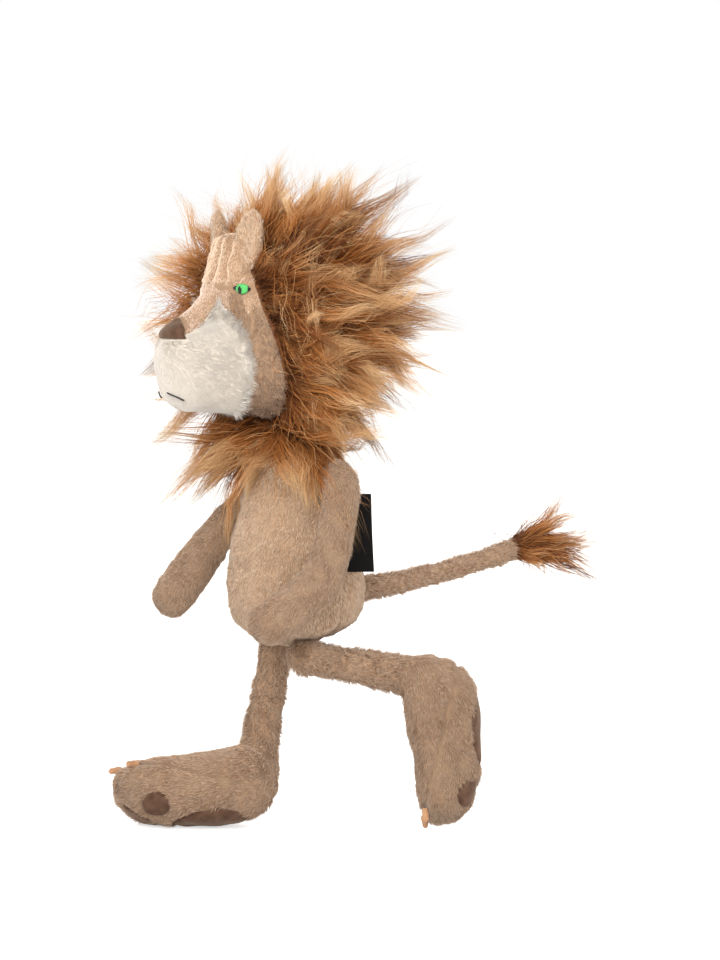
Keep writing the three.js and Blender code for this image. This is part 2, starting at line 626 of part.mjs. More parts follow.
// leg with its foot; the foot's group is placed by the ankle
function makeLeg(side, sign) {
  const hip = new THREE.Group();
  hip.position.copy(hips[side]);
  hip.rotation.y = radians(side === 'left' ? stride.leftHip : stride.rightHip);
  const ankleAt = vec(0, sign * leg.splay, -leg.length);
  const reach = leg.radius * legShares[0];
  const path = [vec(0, 0, reach), vec(0, 0, 0), ankleAt.clone().divideScalar(2), ankleAt,
    ankleAt.clone().setZ(-leg.length - reach)];
  hip.add(...makeLimb(`leg_${side}`, path, leg.radius, legShares, true));
  const ankle = new THREE.Group();
  ankle.position.copy(ankleAt);
  ankle.rotation.set(0, radians(side === 'left' ? stride.leftAnkle : stride.rightAnkle), 0, 'ZYX');
  ankle.rotation.x = radians(-footRoll[side]);
  if (side === 'right') {
    ankle.rotation.z = radians(-footTurn);
  }
  hip.add(ankle);
  return { hip, ankle };
}

// tail: a thin tube let into the back panel, and the tuft around its end
function makeTail() {
  const group = new THREE.Group();
  group.position.copy(tailRoot);
  const run = tail.length - tail.radius;
  const reach = tail.radius * tailShares[0];
  const along = vec(run, 0, tail.rise);
  const bends = tailBendShares.map((share) => along.clone().multiplyScalar(share).add(vec(0, 0, -tail.sag)));
  const path = [vec(-reach, 0, 0), vec(0, 0, 0), ...bends, along];
  group.add(...makeLimb('tail', path, tail.radius, tailShares, true));
  const end = path.at(-1).clone();
  const out = path.at(-1).clone().sub(path.at(-2)).normalize();
  const middle = end.clone().addScaledVector(out, tuft.length / 2 - tuft.overlap);
  const core = new THREE.SphereGeometry(1, limbSides, Math.round(limbSides * bandShare));
  core.scale(tuft.length / 2, tuft.radius, tuft.radius).rotateY(-Math.atan2(out.z, out.x));
  core.translate(middle.x, middle.y, middle.z);
  let pile = solidOf(core);
  for (let i = 0; i < tuft.locks; i++) {
    const round = 2 * Math.PI * i / tuft.locks;
    const spread = i === 0 ? 0 : radians(tuft.spread);
    const aside = Math.sin(spread);
    const direction = vec(Math.cos(spread), aside * Math.cos(round), aside * Math.sin(round));
    direction.applyAxisAngle(vec(0, 1, 0), -Math.atan2(out.z, out.x));
    pile = pile.add(pileLock(middle, direction, tuft.lockLength, tuft.lockRadius, 0));
  }
  const hole = stuffedTube([path.at(-2), end], tail.radius, [1, 1], { grow: seamGap, rings: tuftRings,
    sides: limbSides, endCap: seamGap });
  group.add(part('tail_tuft', mainBody(pile.subtract(hole)), colours.mane));
  return group;
}

// floor as seen from a group that is placed in the figure
function floorFor(group, level) {
  const wide = leg.length + foot.length + overrun;
  const slab = new THREE.BoxGeometry(2 * wide, 2 * wide, wide).translate(0, 0, level - wide / 2);
  slab.applyMatrix4(group.matrixWorld.clone().invert());
  return solidOf(slab);
}

function lowestOf(group, pieces) {
  const lows = pieces.map(([, solid]) => {
    const placed = geometryOf(solid).applyMatrix4(group.matrixWorld);
    placed.computeBoundingBox();
    return placed.boundingBox.min.z;
  });
  return Math.min(...lows);
}

// turns the trailing leg at the hip until its lowest claw touches the floor
function settleOn(level, { hip, ankle }, pieces) {
  let [high, low] = [stride.leftHip - stride.search, stride.leftHip + stride.search];
  for (let i = 0; i < stride.tries; i++) {
    hip.rotation.y = radians((high + low) / 2);
    hip.updateMatrixWorld(true);
    if (lowestOf(ankle, pieces) < level) low = (high + low) / 2;
    else high = (high + low) / 2;
  }
}

function buildFigure() {
  const figure = new THREE.Group();
  figure.rotation.y = radians(-stride.lean);
  figure.add(makeTorso(), makeNeck(), makeHead(), makeArm('left', -1), makeArm('right', 1), makeTail());
  const left = makeLeg('left', -1);
  const right = makeLeg('right', 1);
  figure.add(left.hip, right.hip);
  figure.updateMatrixWorld(true);
  const [leftPieces, rightPieces] = bothSides.map(([side, sign]) => footPieces(side, sign));
  const level = lowestOf(right.ankle, rightPieces) + flatDepth;
  settleOn(level, left, leftPieces);
  const floor = floorFor(right.ankle, level);
  for (const [name, solid, colour] of leftPieces) left.ankle.add(part(name, solid, colour));
  for (const [name, solid, colour] of rightPieces) {
    right.ankle.add(part(name, mainBody(solid.subtract(floor)), colour));
  }
  return figure;
}

const group = new THREE.Group();
group.name = 'plush_lion';
const figure = buildFigure();
const box = new THREE.Box3().setFromObject(figure, true);
figure.position.set(-(box.min.x + box.max.x) / 2, -(box.min.y + box.max.y) / 2, -box.min.z);
group.add(figure);
group.updateMatrixWorld(true);

export default group;
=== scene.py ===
"""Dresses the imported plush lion: stuffed cloth forms, short plush pile and long mane hair."""

import json
import logging
import math
from collections.abc import Callable, Iterable, Sequence
from dataclasses import dataclass, field
from enum import Enum

import bmesh
import bpy
import numpy as np
from mathutils import Euler, Matrix, Vector
from mathutils.bvhtree import BVHTree
from mathutils.kdtree import KDTree


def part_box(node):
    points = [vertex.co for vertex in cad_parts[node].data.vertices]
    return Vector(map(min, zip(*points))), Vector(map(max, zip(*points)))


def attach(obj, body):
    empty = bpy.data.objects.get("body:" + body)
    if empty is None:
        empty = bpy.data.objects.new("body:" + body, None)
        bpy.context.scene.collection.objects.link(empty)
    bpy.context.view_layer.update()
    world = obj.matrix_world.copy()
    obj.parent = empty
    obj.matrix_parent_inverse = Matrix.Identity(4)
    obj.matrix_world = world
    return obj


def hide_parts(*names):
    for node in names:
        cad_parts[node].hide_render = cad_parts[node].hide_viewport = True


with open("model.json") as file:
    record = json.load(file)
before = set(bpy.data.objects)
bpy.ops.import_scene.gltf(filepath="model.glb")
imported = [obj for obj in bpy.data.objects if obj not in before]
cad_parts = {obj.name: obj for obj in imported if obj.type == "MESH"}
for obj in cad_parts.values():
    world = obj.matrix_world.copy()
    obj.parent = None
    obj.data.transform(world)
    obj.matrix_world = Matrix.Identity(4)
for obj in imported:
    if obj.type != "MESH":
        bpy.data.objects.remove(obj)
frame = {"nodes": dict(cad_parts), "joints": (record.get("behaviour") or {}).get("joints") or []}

log = logging.getLogger("plush_lion")

MM = 0.001
ORIGIN_MM = np.array((-38.437, 1.273, -1.157))  # the lion's own measures start here
LEAN = np.array(Matrix.Rotation(math.radians(-3.2), 3, "Y"))  # it leans forward in its stride
REACH_MM = ((-170.0, -110.0, 0.0), (173.0, 110.0, 416.0))  # the longest hair ends within these
FUR_MAP = "OFBake"  # across: the strand's tint, along: from root to tip
MOST_FACES = 190_000  # of one piece
WAVES = 14  # how many sine waves make up a smooth field
STUFFED = 0.7  # how tightly the toy is stuffed
WHITE = "FFFFFF"
FLUFFY = {"lift": 0.62, "lay": 0.8, "unrest": 0.3, "tuft_mm": 6}  # pile of the thin limbs

Points = np.ndarray
Place = tuple[float, float, float]
Shares = tuple[float, ...]
Field = Callable[[Points], np.ndarray]  # something known at each point
Guide = Callable[[Points, Points], np.ndarray]  # the same, from points and their normals
Mesh = bpy.types.Mesh
Material = bpy.types.Material
Tree = bpy.types.NodeTree
Socket = bpy.types.NodeSocket


class Side(Enum):
    """The lion's own left and right, with the sign of Y there."""

    LEFT = -1
    RIGHT = 1

    @property
    def word(self) -> str:
        """The side's name in node and piece names."""
        return self.name.lower()


def stand(points: Points) -> Points:
    """Turns rows in the lion's own millimetres into metres of the frame."""
    return (points @ LEAN.T + ORIGIN_MM) * MM


def lion(*places: Place) -> Points:
    """Turns places in the lion's own millimetres into metres of the frame, one row a place."""
    return stand(np.array(places, float))


def own(points: Points) -> Points:
    """Turns metres of the frame into the lion's own millimetres, one row a point."""
    return (points / MM - ORIGIN_MM) @ LEAN


def unit(vectors: Points) -> Points:
    """Scales the vectors in an array's last axis to length one."""
    return vectors / np.maximum(np.linalg.norm(vectors, axis=-1, keepdims=True), 1e-12)


def ramp(values: np.ndarray, start: float, span: float) -> np.ndarray:
    """Climbs from 0 at the start to 1 a span further on, or back where the span is negative."""
    return np.clip((values - start) / span, 0, 1)


def groove(off: np.ndarray, width: float) -> np.ndarray:
    """Gives a soft groove's depth: 1 in its middle, fading out over about its width."""
    return np.exp(-((off / width) ** 2))


def between(ends: tuple[float, float], share: float) -> float:
    """Gives the value at a share of the way between two ends."""
    return ends[0] + share * (ends[1] - ends[0])


def scaled(size: float, shares: Iterable[float]) -> list[float]:
    """Multiplies a size with each of its shares."""
    return [size * share for share in shares]


def linear(colour: str) -> tuple[float, float, float, float]:
    """Turns an sRGB hex colour into linear values.

    Args:
        colour: six hex digits.

    Returns:
        Red, green, blue and full opacity.
    """
    parts = [int(colour[i : i + 2], 16) / 255 for i in (0, 2, 4)]
    low = [c / 12.92 if c <= 0.04045 else ((c + 0.055) / 1.055) ** 2.4 for c in parts]
    return (*low, 1.0)


def add_node(
    tree: Tree,
    kind: str,
    values: dict | None = None,
    stops: Iterable[tuple[float, str]] = (),
    **settings: object,
) -> bpy.types.Node:
    """Adds one node with its settings, values and links.

    Args:
        tree: where the node goes.
        kind: the node's type name.
        values: a constant or a feeding socket for each input, by name or number.
        stops: place and sRGB hex colour of each stop, where the node is a colour ramp.
        settings: the node's own properties.

    Returns:
        The new node.
    """
    node = tree.nodes.new(kind)
    for name, value in settings.items():
        setattr(node, name, value)
    for name, value in (values or {}).items():
        if isinstance(value, Socket):
            tree.links.new(value, node.inputs[name])
        else:
            node.inputs[name].default_value = value
    for i, (place, colour) in enumerate(stops):
        elements = node.color_ramp.elements
        element = elements[i] if i < len(elements) else elements.new(place)
        element.position = place
        element.color = linear(colour)
    return node


def add_surface(
    tree: Tree, colour: Socket, values: dict, height: Socket | None = None, bump: tuple[float, float] = (0, 0)
) -> None:
    """Adds the surface shader, the bump under it if there is one, and the output.

    Args:
        tree: the material's tree.
        colour: what colours it.
        values: the shader's constants.
        height: what raises it.
        bump: the raising's strength and its depth in millimetres.
    """
    values = {"Base Color": colour, **values}
    if height is not None:
        raised = {"Strength": bump[0], "Distance": bump[1] * MM, "Height": height}
        values["Normal"] = add_node(tree, "ShaderNodeBump", raised).outputs["Normal"]
    shader = add_node(tree, "ShaderNodeBsdfPrincipled", values)
    add_node(tree, "ShaderNodeOutputMaterial", {"Surface": shader.outputs["BSDF"]})


@dataclass(frozen=True)
class Finish:
    """A finish by its name. Each kind of surface adds its own nodes."""

    name: str

    def add_nodes(self, tree: Tree) -> None:
        """Fills the material's empty tree."""
        raise NotImplementedError

    def material(self) -> Material:
        """Builds the material.

        Returns:
            The material.
        """
        material = bpy.data.materials.new(self.name)
        material.use_nodes = True
        material.node_tree.nodes.clear()
        self.add_nodes(material.node_tree)
        return material


@dataclass(frozen=True)
class Hair(Finish):
    """Acrylic pile strands: dark with painted shade at the root, pale with painted light and thin at the tip,
    tinted strand by strand.
    """

    root: str
    middle: str
    tip: str
    dark_tint: str
    mid_tint: str = WHITE
    roughness: float = 0.55
    sheen: float = 0.1

    def add_nodes(self, tree: Tree) -> None:
        """Lets the colour run along each strand's own map.

        Args:
            tree: the material's tree.
        """
        place = add_node(tree, "ShaderNodeUVMap", uv_map=FUR_MAP).outputs["UV"]
        split = add_node(tree, "ShaderNodeSeparateXYZ", {"Vector": place}).outputs
        # painted light along each strand: shade at the root, light at the tip
        along = [(0.0, self.root), (0.55, self.middle), (1.0, self.tip)]
        tints = [(0.0, self.dark_tint), (0.5, self.mid_tint), (1.0, WHITE)]
        body = add_node(tree, "ShaderNodeValToRGB", {"Fac": split["Y"]}, along).outputs["Color"]
        tint = add_node(tree, "ShaderNodeValToRGB", {"Fac": split["X"]}, tints).outputs["Color"]
        both = {0: 1.0, 6: body, 7: tint}
        colour = add_node(tree, "ShaderNodeMix", both, data_type="RGBA", blend_type="MULTIPLY")
        values = {"Roughness": self.roughness, "Specular IOR Level": 0.18, "Sheen Weight": self.sheen}
        add_surface(tree, colour.outputs[2], values)


@dataclass(frozen=True)
class Backing(Finish):
    """Knitted polyester backing, seen only between the strands: dull, slightly uneven."""

    colour: str
    shade: str
    grain_mm: float = 1.6
    grain_detail: float = 2.0
    drift_mm: float = 9.0
    drift_detail: float = 3.0
    pale_from: float = 0.7
    bump: tuple[float, float] = (0.7, 0.6)
    roughness: float = 0.95
    sheen: float = 0.3
    sheen_roughness: float = 0.5
    sheen_tint: str = WHITE

    def add_nodes(self, tree: Tree) -> None:
        """Gives the cloth its colour drift and its fine raised grain.

        Args:
            tree: the material's tree.
        """
        place = add_node(tree, "ShaderNodeTexCoord").outputs["Object"]
        drift, grain = (
            add_node(
                tree, "ShaderNodeTexNoise", {"Scale": 1 / (size * MM), "Detail": detail, "Vector": place}
            ).outputs["Fac"]
            for size, detail in ((self.drift_mm, self.drift_detail), (self.grain_mm, self.grain_detail))
        )
        stops = [(0.3, self.shade), (self.pale_from, self.colour)]
        colour = add_node(tree, "ShaderNodeValToRGB", {"Fac": drift}, stops).outputs["Color"]
        values = {
            "Roughness": self.roughness,
            "Specular IOR Level": 0.15,
            "Sheen Weight": self.sheen,
            "Sheen Roughness": self.sheen_roughness,
            "Sheen Tint": linear(self.sheen_tint),
        }
        add_surface(tree, colour, values, grain, self.bump)


@dataclass(frozen=True)
class Velour(Backing):
    """Short cut velour of the pads and the nose: dense and soft, with a light rim where it turns away."""

    grain_mm: float = 0.7
    grain_detail: float = 1.0
    drift_mm: float = 5.0
    drift_detail: float = 2.0
    pale_from: float = 0.75
    bump: tuple[float, float] = (0.6, 0.3)
    roughness: float = 0.9
    sheen: float = 0.6
    sheen_roughness: float = 0.4
    sheen_tint: str = "C9B4A0"


@dataclass(frozen=True)
class Woven(Finish):
    """Woven ribbon or stitched thread: fine parallel threads with a little gloss."""

    colour: str
    shade: str
    thread_mm: float
    roughness: float
    gloss: float = 1.0

    def add_nodes(self, tree: Tree) -> None:
        """Weaves two sets of bands at the thread's spacing.

        Args:
            tree: the material's tree.
        """
        place = add_node(tree, "ShaderNodeTexCoord").outputs["Object"]
        bands = {"Scale": 0.31 / (self.thread_mm * MM), "Distortion": 0.4, "Vector": place}
        warp, weft = (
            add_node(tree, "ShaderNodeTexWave", bands, bands_direction=way).outputs["Fac"] for way in "XZ"
        )
        weave = add_node(tree, "ShaderNodeMath", {0: warp, 1: weft}, operation="MULTIPLY").outputs["Value"]
        stops = [(0.0, self.shade), (1.0, self.colour)]
        colour = add_node(tree, "ShaderNodeValToRGB", {"Fac": weave}, stops).outputs["Color"]
        values = {
            "Roughness": self.roughness,
            "Specular IOR Level": 0.35 * self.gloss,
            "Sheen Weight": 0.15 * self.gloss,
        }
        add_surface(tree, colour, values, weave, (0.5, 0.15))


@dataclass(frozen=True)
class Paper(Finish):
    """Studio paper that glows a little towards the camera: it shows white and keeps the toy's shadow."""

    colour: str
    glow: float

    def add_nodes(self, tree: Tree) -> None:
        """Adds a glow to the dull paper.

        Args:
            tree: the material's tree.
        """
        seen = add_node(tree, "ShaderNodeLightPath").outputs["Is Camera Ray"]
        paper = add_node(tree, "ShaderNodeBsdfDiffuse", {"Color": linear(self.colour)}).outputs[0]
        strength = add_node(tree, "ShaderNodeMath", {0: seen, 1: self.glow}, operation="MULTIPLY").outputs[0]
        glow = add_node(tree, "ShaderNodeEmission", {"Color": linear(WHITE), "Strength": strength}).outputs[0]
        both = add_node(tree, "ShaderNodeAddShader", {0: paper, 1: glow}).outputs[0]
        add_node(tree, "ShaderNodeOutputMaterial", {"Surface": both})


def built(finish: Finish) -> Material:
    """Declares a field that holds the finish's material, built with the object."""
    return field(default_factory=finish.material)


@dataclass
class Finishes:
    """Every finish of the toy, each made once."""

    # short polyester plush in sand: matt, paler where its tips catch the light
    plush: Material = built(Backing("sand_plush_backing", "A2846A", "90745C"))
    # the same backing as it shows on arms and feet, where the pile parts more: a darker copy with painted
    # shade between the strands and in the seams
    limb: Material = built(Backing("limb_plush_backing", "90765E", "786250"))
    plush_hair: Material = built(Hair("sand_plush_pile", "8E7058", "C2A389", "E2CAB4", "C0A890"))
    # the same plush stroked flat over the chest, painted lighter as a lit copy of the sand pile
    chest_hair: Material = built(Hair("stroked_sand_pile", "B6967C", "E6CAAE", "F5E1CD", "CCB8A4"))
    face_hair: Material = built(Hair("face_plush_pile", "C0A28A", "E2C8AF", "EEDAC6", "E0D0C0", sheen=0.0))
    # the bridge of the nose: the same plush shorn close, a little pinker
    bridge_hair: Material = built(Hair("shorn_face_pile", "CEB2A0", "E4CCBA", "ECD8CA", "EEE8E4"))
    # white plush with longer, fluffier pile
    white: Material = built(Backing("white_plush_backing", "CDC4B8", "C2B8AB"))
    white_hair: Material = built(Hair("white_plush_pile", "BDB6AE", "CFC9C2", "D8D3CD", "F2F0EC", sheen=0.0))
    # mane fabric: dark brown at the roots, golden brown, pale gold tips; the dark roots are painted shade and
    # the pale tips painted light shining through
    mane: Material = built(Backing("mane_backing", "70441F", "4E2D14"))
    mane_hair: Material = built(Hair("mane_hair", "4A2712", "CC8A4E", "FFE2B4", "6E4428", "DECFBE", 0.5, 0.0))
    velour: Material = built(Velour("brown_velour", "62483A", "463124"))
    # eye: satin stitches in green and black thread
    eye: Material = built(Woven("green_satin_thread", "6FD67C", "3FA552", 0.7, 0.45))
    black: Material = built(Woven("black_thread", "1B1818", "0E0C0C", 0.6, 0.6))
    # side label: dull woven ribbon
    ribbon: Material = built(Woven("black_woven_ribbon", "110E0E", "080606", 0.55, 0.8, 0.25))
    # claws: thin felt in apricot
    felt: Material = built(Backing("apricot_felt", "BE916C", "A27858", 0.9))


def waves(seed: int, size_mm: float, points: Points) -> np.ndarray:
    """Reads a smooth seeded field of a few sine waves, for lumps, partings and colour drift.

    Args:
        seed: start of the random numbers.
        size_mm: length of a typical wave.
        points: places in metres.

    Returns:
        One value a point, mostly between -2 and 2, about 0 on average.
    """
    rng = np.random.default_rng(seed)
    scale = 2 * math.pi / (size_mm * MM) * rng.uniform(0.6, 1.5, (WAVES, 1))
    ways = unit(rng.normal(size=(WAVES, 3))) * scale
    phases = rng.uniform(0, 2 * math.pi, WAVES)
    return np.sin(points @ ways.T + phases).sum(1) * math.sqrt(2 / WAVES)


def swirl(seed: int, size_mm: float, points: Points) -> Points:
    """Reads three smooth fields as one vector a point."""
    return np.stack([waves(seed + k, size_mm, points) for k in range(3)], 1)


def lumps(points: Points, seed: int, depth_mm: float) -> np.ndarray:
    """Works out how far uneven stuffing lifts the cloth at each point, in millimetres."""
    return depth_mm * (0.7 * waves(seed, 34, points) + 0.3 * waves(seed + 1, 13, points))


def nearest(places: Points, points: Points) -> np.ndarray:
    """Finds which of some places is the nearest one.

    Args:
        places: what is chosen from.
        points: where the nearest place is looked for.

    Returns:
        A place's number for each point.
    """
    tree = KDTree(len(places))
    for i, place in enumerate(places):
        tree.insert(place, i)
    tree.balance()
    return np.array([tree.find(point)[1] for point in points])


def smooth_share(shares: Sequence[float], t: np.ndarray) -> np.ndarray:
    """Reads a row of values smoothly between its entries.

    Args:
        shares: values at equal steps.
        t: places from 0 to 1.

    Returns:
        One value a place.
    """
    values = np.array(shares, float)
    last = len(values) - 1
    place = np.clip(t, 0, 1) * last
    i = np.minimum(np.floor(place).astype(int), last - 1)
    w = place - i
    p0, p1 = values[np.maximum(i - 1, 0)], values[i]
    p2, p3 = values[i + 1], values[np.minimum(i + 2, last)]
    v0, v1 = (p2 - p0) / 2, (p3 - p1) / 2
    return (2 * p1 - 2 * p2 + v0 + v1) * w**3 + (3 * p2 - 3 * p1 - 2 * v0 - v1) * w**2 + v0 * w + p1


def smooth_path(points: Points, steps: int = 24) -> Points:
    """Draws a smooth curve through points, without overshoot where they are unevenly spaced.

    Args:
        points: the points it passes.
        steps: places on each stretch.

    Returns:
        Places along the curve.
    """
    p = np.vstack([2 * points[0] - points[1], points, 2 * points[-1] - points[-2]])
    rows = []
    for i in range(len(p) - 3):
        a, b, c, d = p[i : i + 4]
        gaps = [np.linalg.norm(q - r) ** 0.5 + 1e-9 for q, r in ((b, a), (c, b), (d, c))]
        k = np.cumsum([0, *gaps])
        t = np.linspace(k[1], k[2], steps, endpoint=False)[:, None]

        def mix(first: Points, second: Points, low: float, high: float) -> Points:
            """Blends two rows between two knots."""
            return first * (high - t) / (high - low) + second * (t - low) / (high - low)

        ab, bc, cd = mix(a, b, k[0], k[1]), mix(b, c, k[1], k[2]), mix(c, d, k[2], k[3])
        rows.append(mix(mix(ab, bc, k[0], k[2]), mix(bc, cd, k[1], k[3]), k[1], k[2]))
    return np.vstack([*rows, p[-2][None]])


@dataclass
class StuffedForm:
    """Stuffed cloth form that swells and tapers along a path and has rounded ends. Millimetres.

    The top follows the sides and the bottom follows the top where they are left out.
    """

    path: Sequence[Place]
    side: Sequence[float]
    caps: tuple[float, float]
    top: Sequence[float] | None = None
    bottom: Sequence[float] | None = None
    squareness: float = 2.0
    sideways: Place = (0.0, 1.0, 0.0)
    rows: int = 44
    sides: int = 44

    def line(self) -> Points:
        """Draws the path smoothly, in millimetres."""
        return smooth_path(np.array(self.path, float))

    def loops(self) -> Points:
        """Works out the rings of skin from pole to pole.

        Returns:
            Rows, sides and coordinates, in millimetres.
        """
        line = self.line()
        steps = np.r_[0, np.cumsum(np.linalg.norm(np.diff(line, axis=0), axis=1))]
        length = steps[-1]
        turn = np.linspace(0, math.pi, self.rows + 1)
        s = length * (0.45 * ((1 - np.cos(turn)) / 2) + 0.55 * np.linspace(0, 1, self.rows + 1))
        t = s / length
        middle = np.stack([np.interp(s, steps, line[:, k]) for k in range(3)], 1)
        forward = unit(np.gradient(middle, axis=0))
        sideways = np.array(self.sideways)
        across = unit(sideways[None] - forward * (forward @ sideways)[:, None])
        upward = np.cross(forward, across)
        after = 1 - np.minimum(1, s / self.caps[0])
        before = 1 - np.minimum(1, (length - s) / self.caps[1])
        roundness = np.sqrt(np.maximum(0, (1 - after**2) * (1 - before**2)))
        angle = 2 * math.pi * np.arange(self.sides) / self.sides
        c, d = (np.sign(v) * np.abs(v) ** (2 / self.squareness) for v in (np.cos(angle), np.sin(angle)))
        top = self.top or self.side
        up, down = (smooth_share(high, t)[:, None] for high in (top, self.bottom or top))
        high = np.where(d[None] > 0, up, down)
        wide = smooth_share(self.side, t) * roundness
        return (
            middle[:, None]
            + across[:, None] * (wide[:, None] * c[None])[..., None]
            + upward[:, None] * (high * roundness[:, None] * d[None])[..., None]
        )

    def add_to(self, bm: bmesh.types.BMesh, to_frame: Field) -> None:
        """Adds the closed skin to a mesh.

        Args:
            bm: the mesh that takes it.
            to_frame: turns the form's millimetres into metres of the frame.
        """
        loops = self.loops()
        made = bmesh.ops.create_grid(bm, x_segments=self.sides, y_segments=self.rows, size=1)["verts"]
        for vert in made:
            k = round((vert.co.x + 1) / 2 * self.sides) % self.sides
            r = round((vert.co.y + 1) / 2 * self.rows)
            vert.co = Vector(to_frame(loops[r, k][None])[0])
        bmesh.ops.remove_doubles(bm, verts=made, dist=1e-7)


def mesh_from(name: str, bm: bmesh.types.BMesh) -> Mesh:
    """Closes a bmesh into a mesh with smooth faces that point out.

    Args:
        name: the mesh's name.
        bm: what was built; it is freed.

    Returns:
        The mesh.
    """
    bmesh.ops.recalc_face_normals(bm, faces=bm.faces)
    for face in bm.faces:
        face.smooth = True
    mesh = bpy.data.meshes.new(name)
    bm.to_mesh(mesh)
    bm.free()
    return mesh


def stuffed_mesh(name: str, forms: Iterable[StuffedForm], to_frame: Field = stand) -> Mesh:
    """Builds the closed skins of stuffed forms.

    Args:
        name: the mesh's name.
        forms: one or more forms.
        to_frame: turns their millimetres into metres of the frame.

    Returns:
        One mesh of all of them.
    """
    bm = bmesh.new()
    for form in forms:
        form.add_to(bm, to_frame)
    return mesh_from(name, bm)


def add_object(name: str, data: bpy.types.ID) -> bpy.types.Object:
    """Links new data into the scene.

    Args:
        name: the object's name.
        data: its mesh, lamp or camera.

    Returns:
        The object.
    """
    thing = bpy.data.objects.new(name, data)
    bpy.context.scene.collection.objects.link(thing)
    return thing


def smooth(bm: bmesh.types.BMesh, factor: float) -> None:
    """Evens out all points of a mesh once."""
    axes = dict.fromkeys(("use_axis_x", "use_axis_y", "use_axis_z"), True)
    bmesh.ops.smooth_vert(bm, verts=bm.verts, factor=factor, **axes)


def fuse(mesh: Mesh, voxel_mm: float, passes: int) -> Mesh:
    """Melts overlapping closed skins into one skin and smooths it.

    Args:
        mesh: the overlapping skins; it is removed.
        voxel_mm: size of the new faces.
        passes: how many times it is smoothed.

    Returns:
        The fused mesh.
    """
    name = mesh.name
    holder = add_object(name, mesh)
    melt = holder.modifiers.new("melt", "REMESH")
    melt.mode = "VOXEL"
    melt.voxel_size = voxel_mm * MM
    graph = bpy.context.evaluated_depsgraph_get()
    fused = bpy.data.meshes.new_from_object(holder.evaluated_get(graph))
    bm = bmesh.new()
    bm.from_mesh(fused)
    bpy.data.objects.remove(holder)
    for spent in (mesh, fused):
        bpy.data.meshes.remove(spent)
    for _ in range(passes):
        smooth(bm, 0.5)
    return mesh_from(name, bm)


def rows_of(collection: bpy.types.bpy_prop_collection, name: str) -> Points:
    """Reads one vector from each entry of a mesh's collection.

    Args:
        collection: such as a mesh's points.
        name: the vector's name.

    Returns:
        One row an entry.
    """
    rows = np.zeros(len(collection) * 3)
    collection.foreach_get(name, rows)
    return rows.reshape(-1, 3)


def places_of(mesh: Mesh) -> Points:
    """Reads a mesh's points, one row a point."""
    return rows_of(mesh.vertices, "co")


def normals_of(mesh: Mesh) -> Points:
    """Reads a mesh's point normals, one row a point."""
    return rows_of(mesh.vertex_normals, "vector")


def move_to(mesh: Mesh, places: Points) -> None:
    """Moves a mesh's points to new places."""
    mesh.vertices.foreach_set("co", places.ravel())
    mesh.update()


def push(mesh: Mesh, out_mm: np.ndarray) -> None:
    """Moves each point of a mesh out along its normal."""
    move_to(mesh, places_of(mesh) + normals_of(mesh) * (out_mm * MM)[:, None])


def tree_of(mesh: Mesh) -> BVHTree:
    """Makes a mesh ready to be hit by rays."""
    return BVHTree.FromPolygons([v.co for v in mesh.vertices], [p.vertices for p in mesh.polygons])


def disc(a: float, b: float) -> tuple[float, float]:
    """Moves a place in the unit square to the unit disc."""
    return a * math.sqrt(1 - b * b / 2), b * math.sqrt(1 - a * a / 2)


def swell(edge: float, slope: float) -> float:
    """Climbs roundly from 0 at a patch's edge to 1 inside it."""
    return min(1, max(edge, 0) * slope) ** 0.6


def drape(
    name: str, cells: tuple[int, int], lay: Callable[[float, float], Vector], thick_mm: float
) -> Mesh:
    """Lays a grid out point by point and gives it a thickness.

    Args:
        name: the mesh's name.
        cells: how many there are along each edge.
        lay: turns a grid place, from -1 to 1 both ways, into a place in metres.
        thick_mm: the thickness.

    Returns:
        The mesh.
    """
    bm = bmesh.new()
    bmesh.ops.create_grid(bm, x_segments=cells[0], y_segments=cells[1], size=1)
    for vert in bm.verts:
        vert.co = lay(vert.co.x, vert.co.y)
    bmesh.ops.solidify(bm, geom=bm.faces[:], thickness=thick_mm * MM)
    return mesh_from(name, bm)


def scatter(mesh: Mesh, per_mm2: float, rng: np.random.Generator) -> tuple[Points, Points]:
    """Scatters places evenly over a mesh.

    Args:
        mesh: the surface.
        per_mm2: how many places a square millimetre.
        rng: the random numbers.

    Returns:
        Places and their normals.
    """
    mesh.calc_loop_triangles()
    index = np.zeros(len(mesh.loop_triangles) * 3, int)
    mesh.loop_triangles.foreach_get("vertices", index)
    corners, normals = (rows[index].reshape(-1, 3, 3) for rows in (places_of(mesh), normals_of(mesh)))
    a, b, c = corners[:, 0], corners[:, 1], corners[:, 2]
    areas = np.linalg.norm(np.cross(b - a, c - a), axis=1) / 2
    count = int(areas.sum() / MM**2 * per_mm2)
    face = rng.choice(len(areas), count, p=areas / areas.sum())
    share = rng.uniform(size=(count, 2))
    flip = share.sum(1) > 1
    share[flip] = 1 - share[flip]
    weights = np.stack([1 - share.sum(1), share[:, 0], share[:, 1]], 1)[..., None]
    return (corners[face] * weights).sum(1), unit((normals[face] * weights).sum(1))


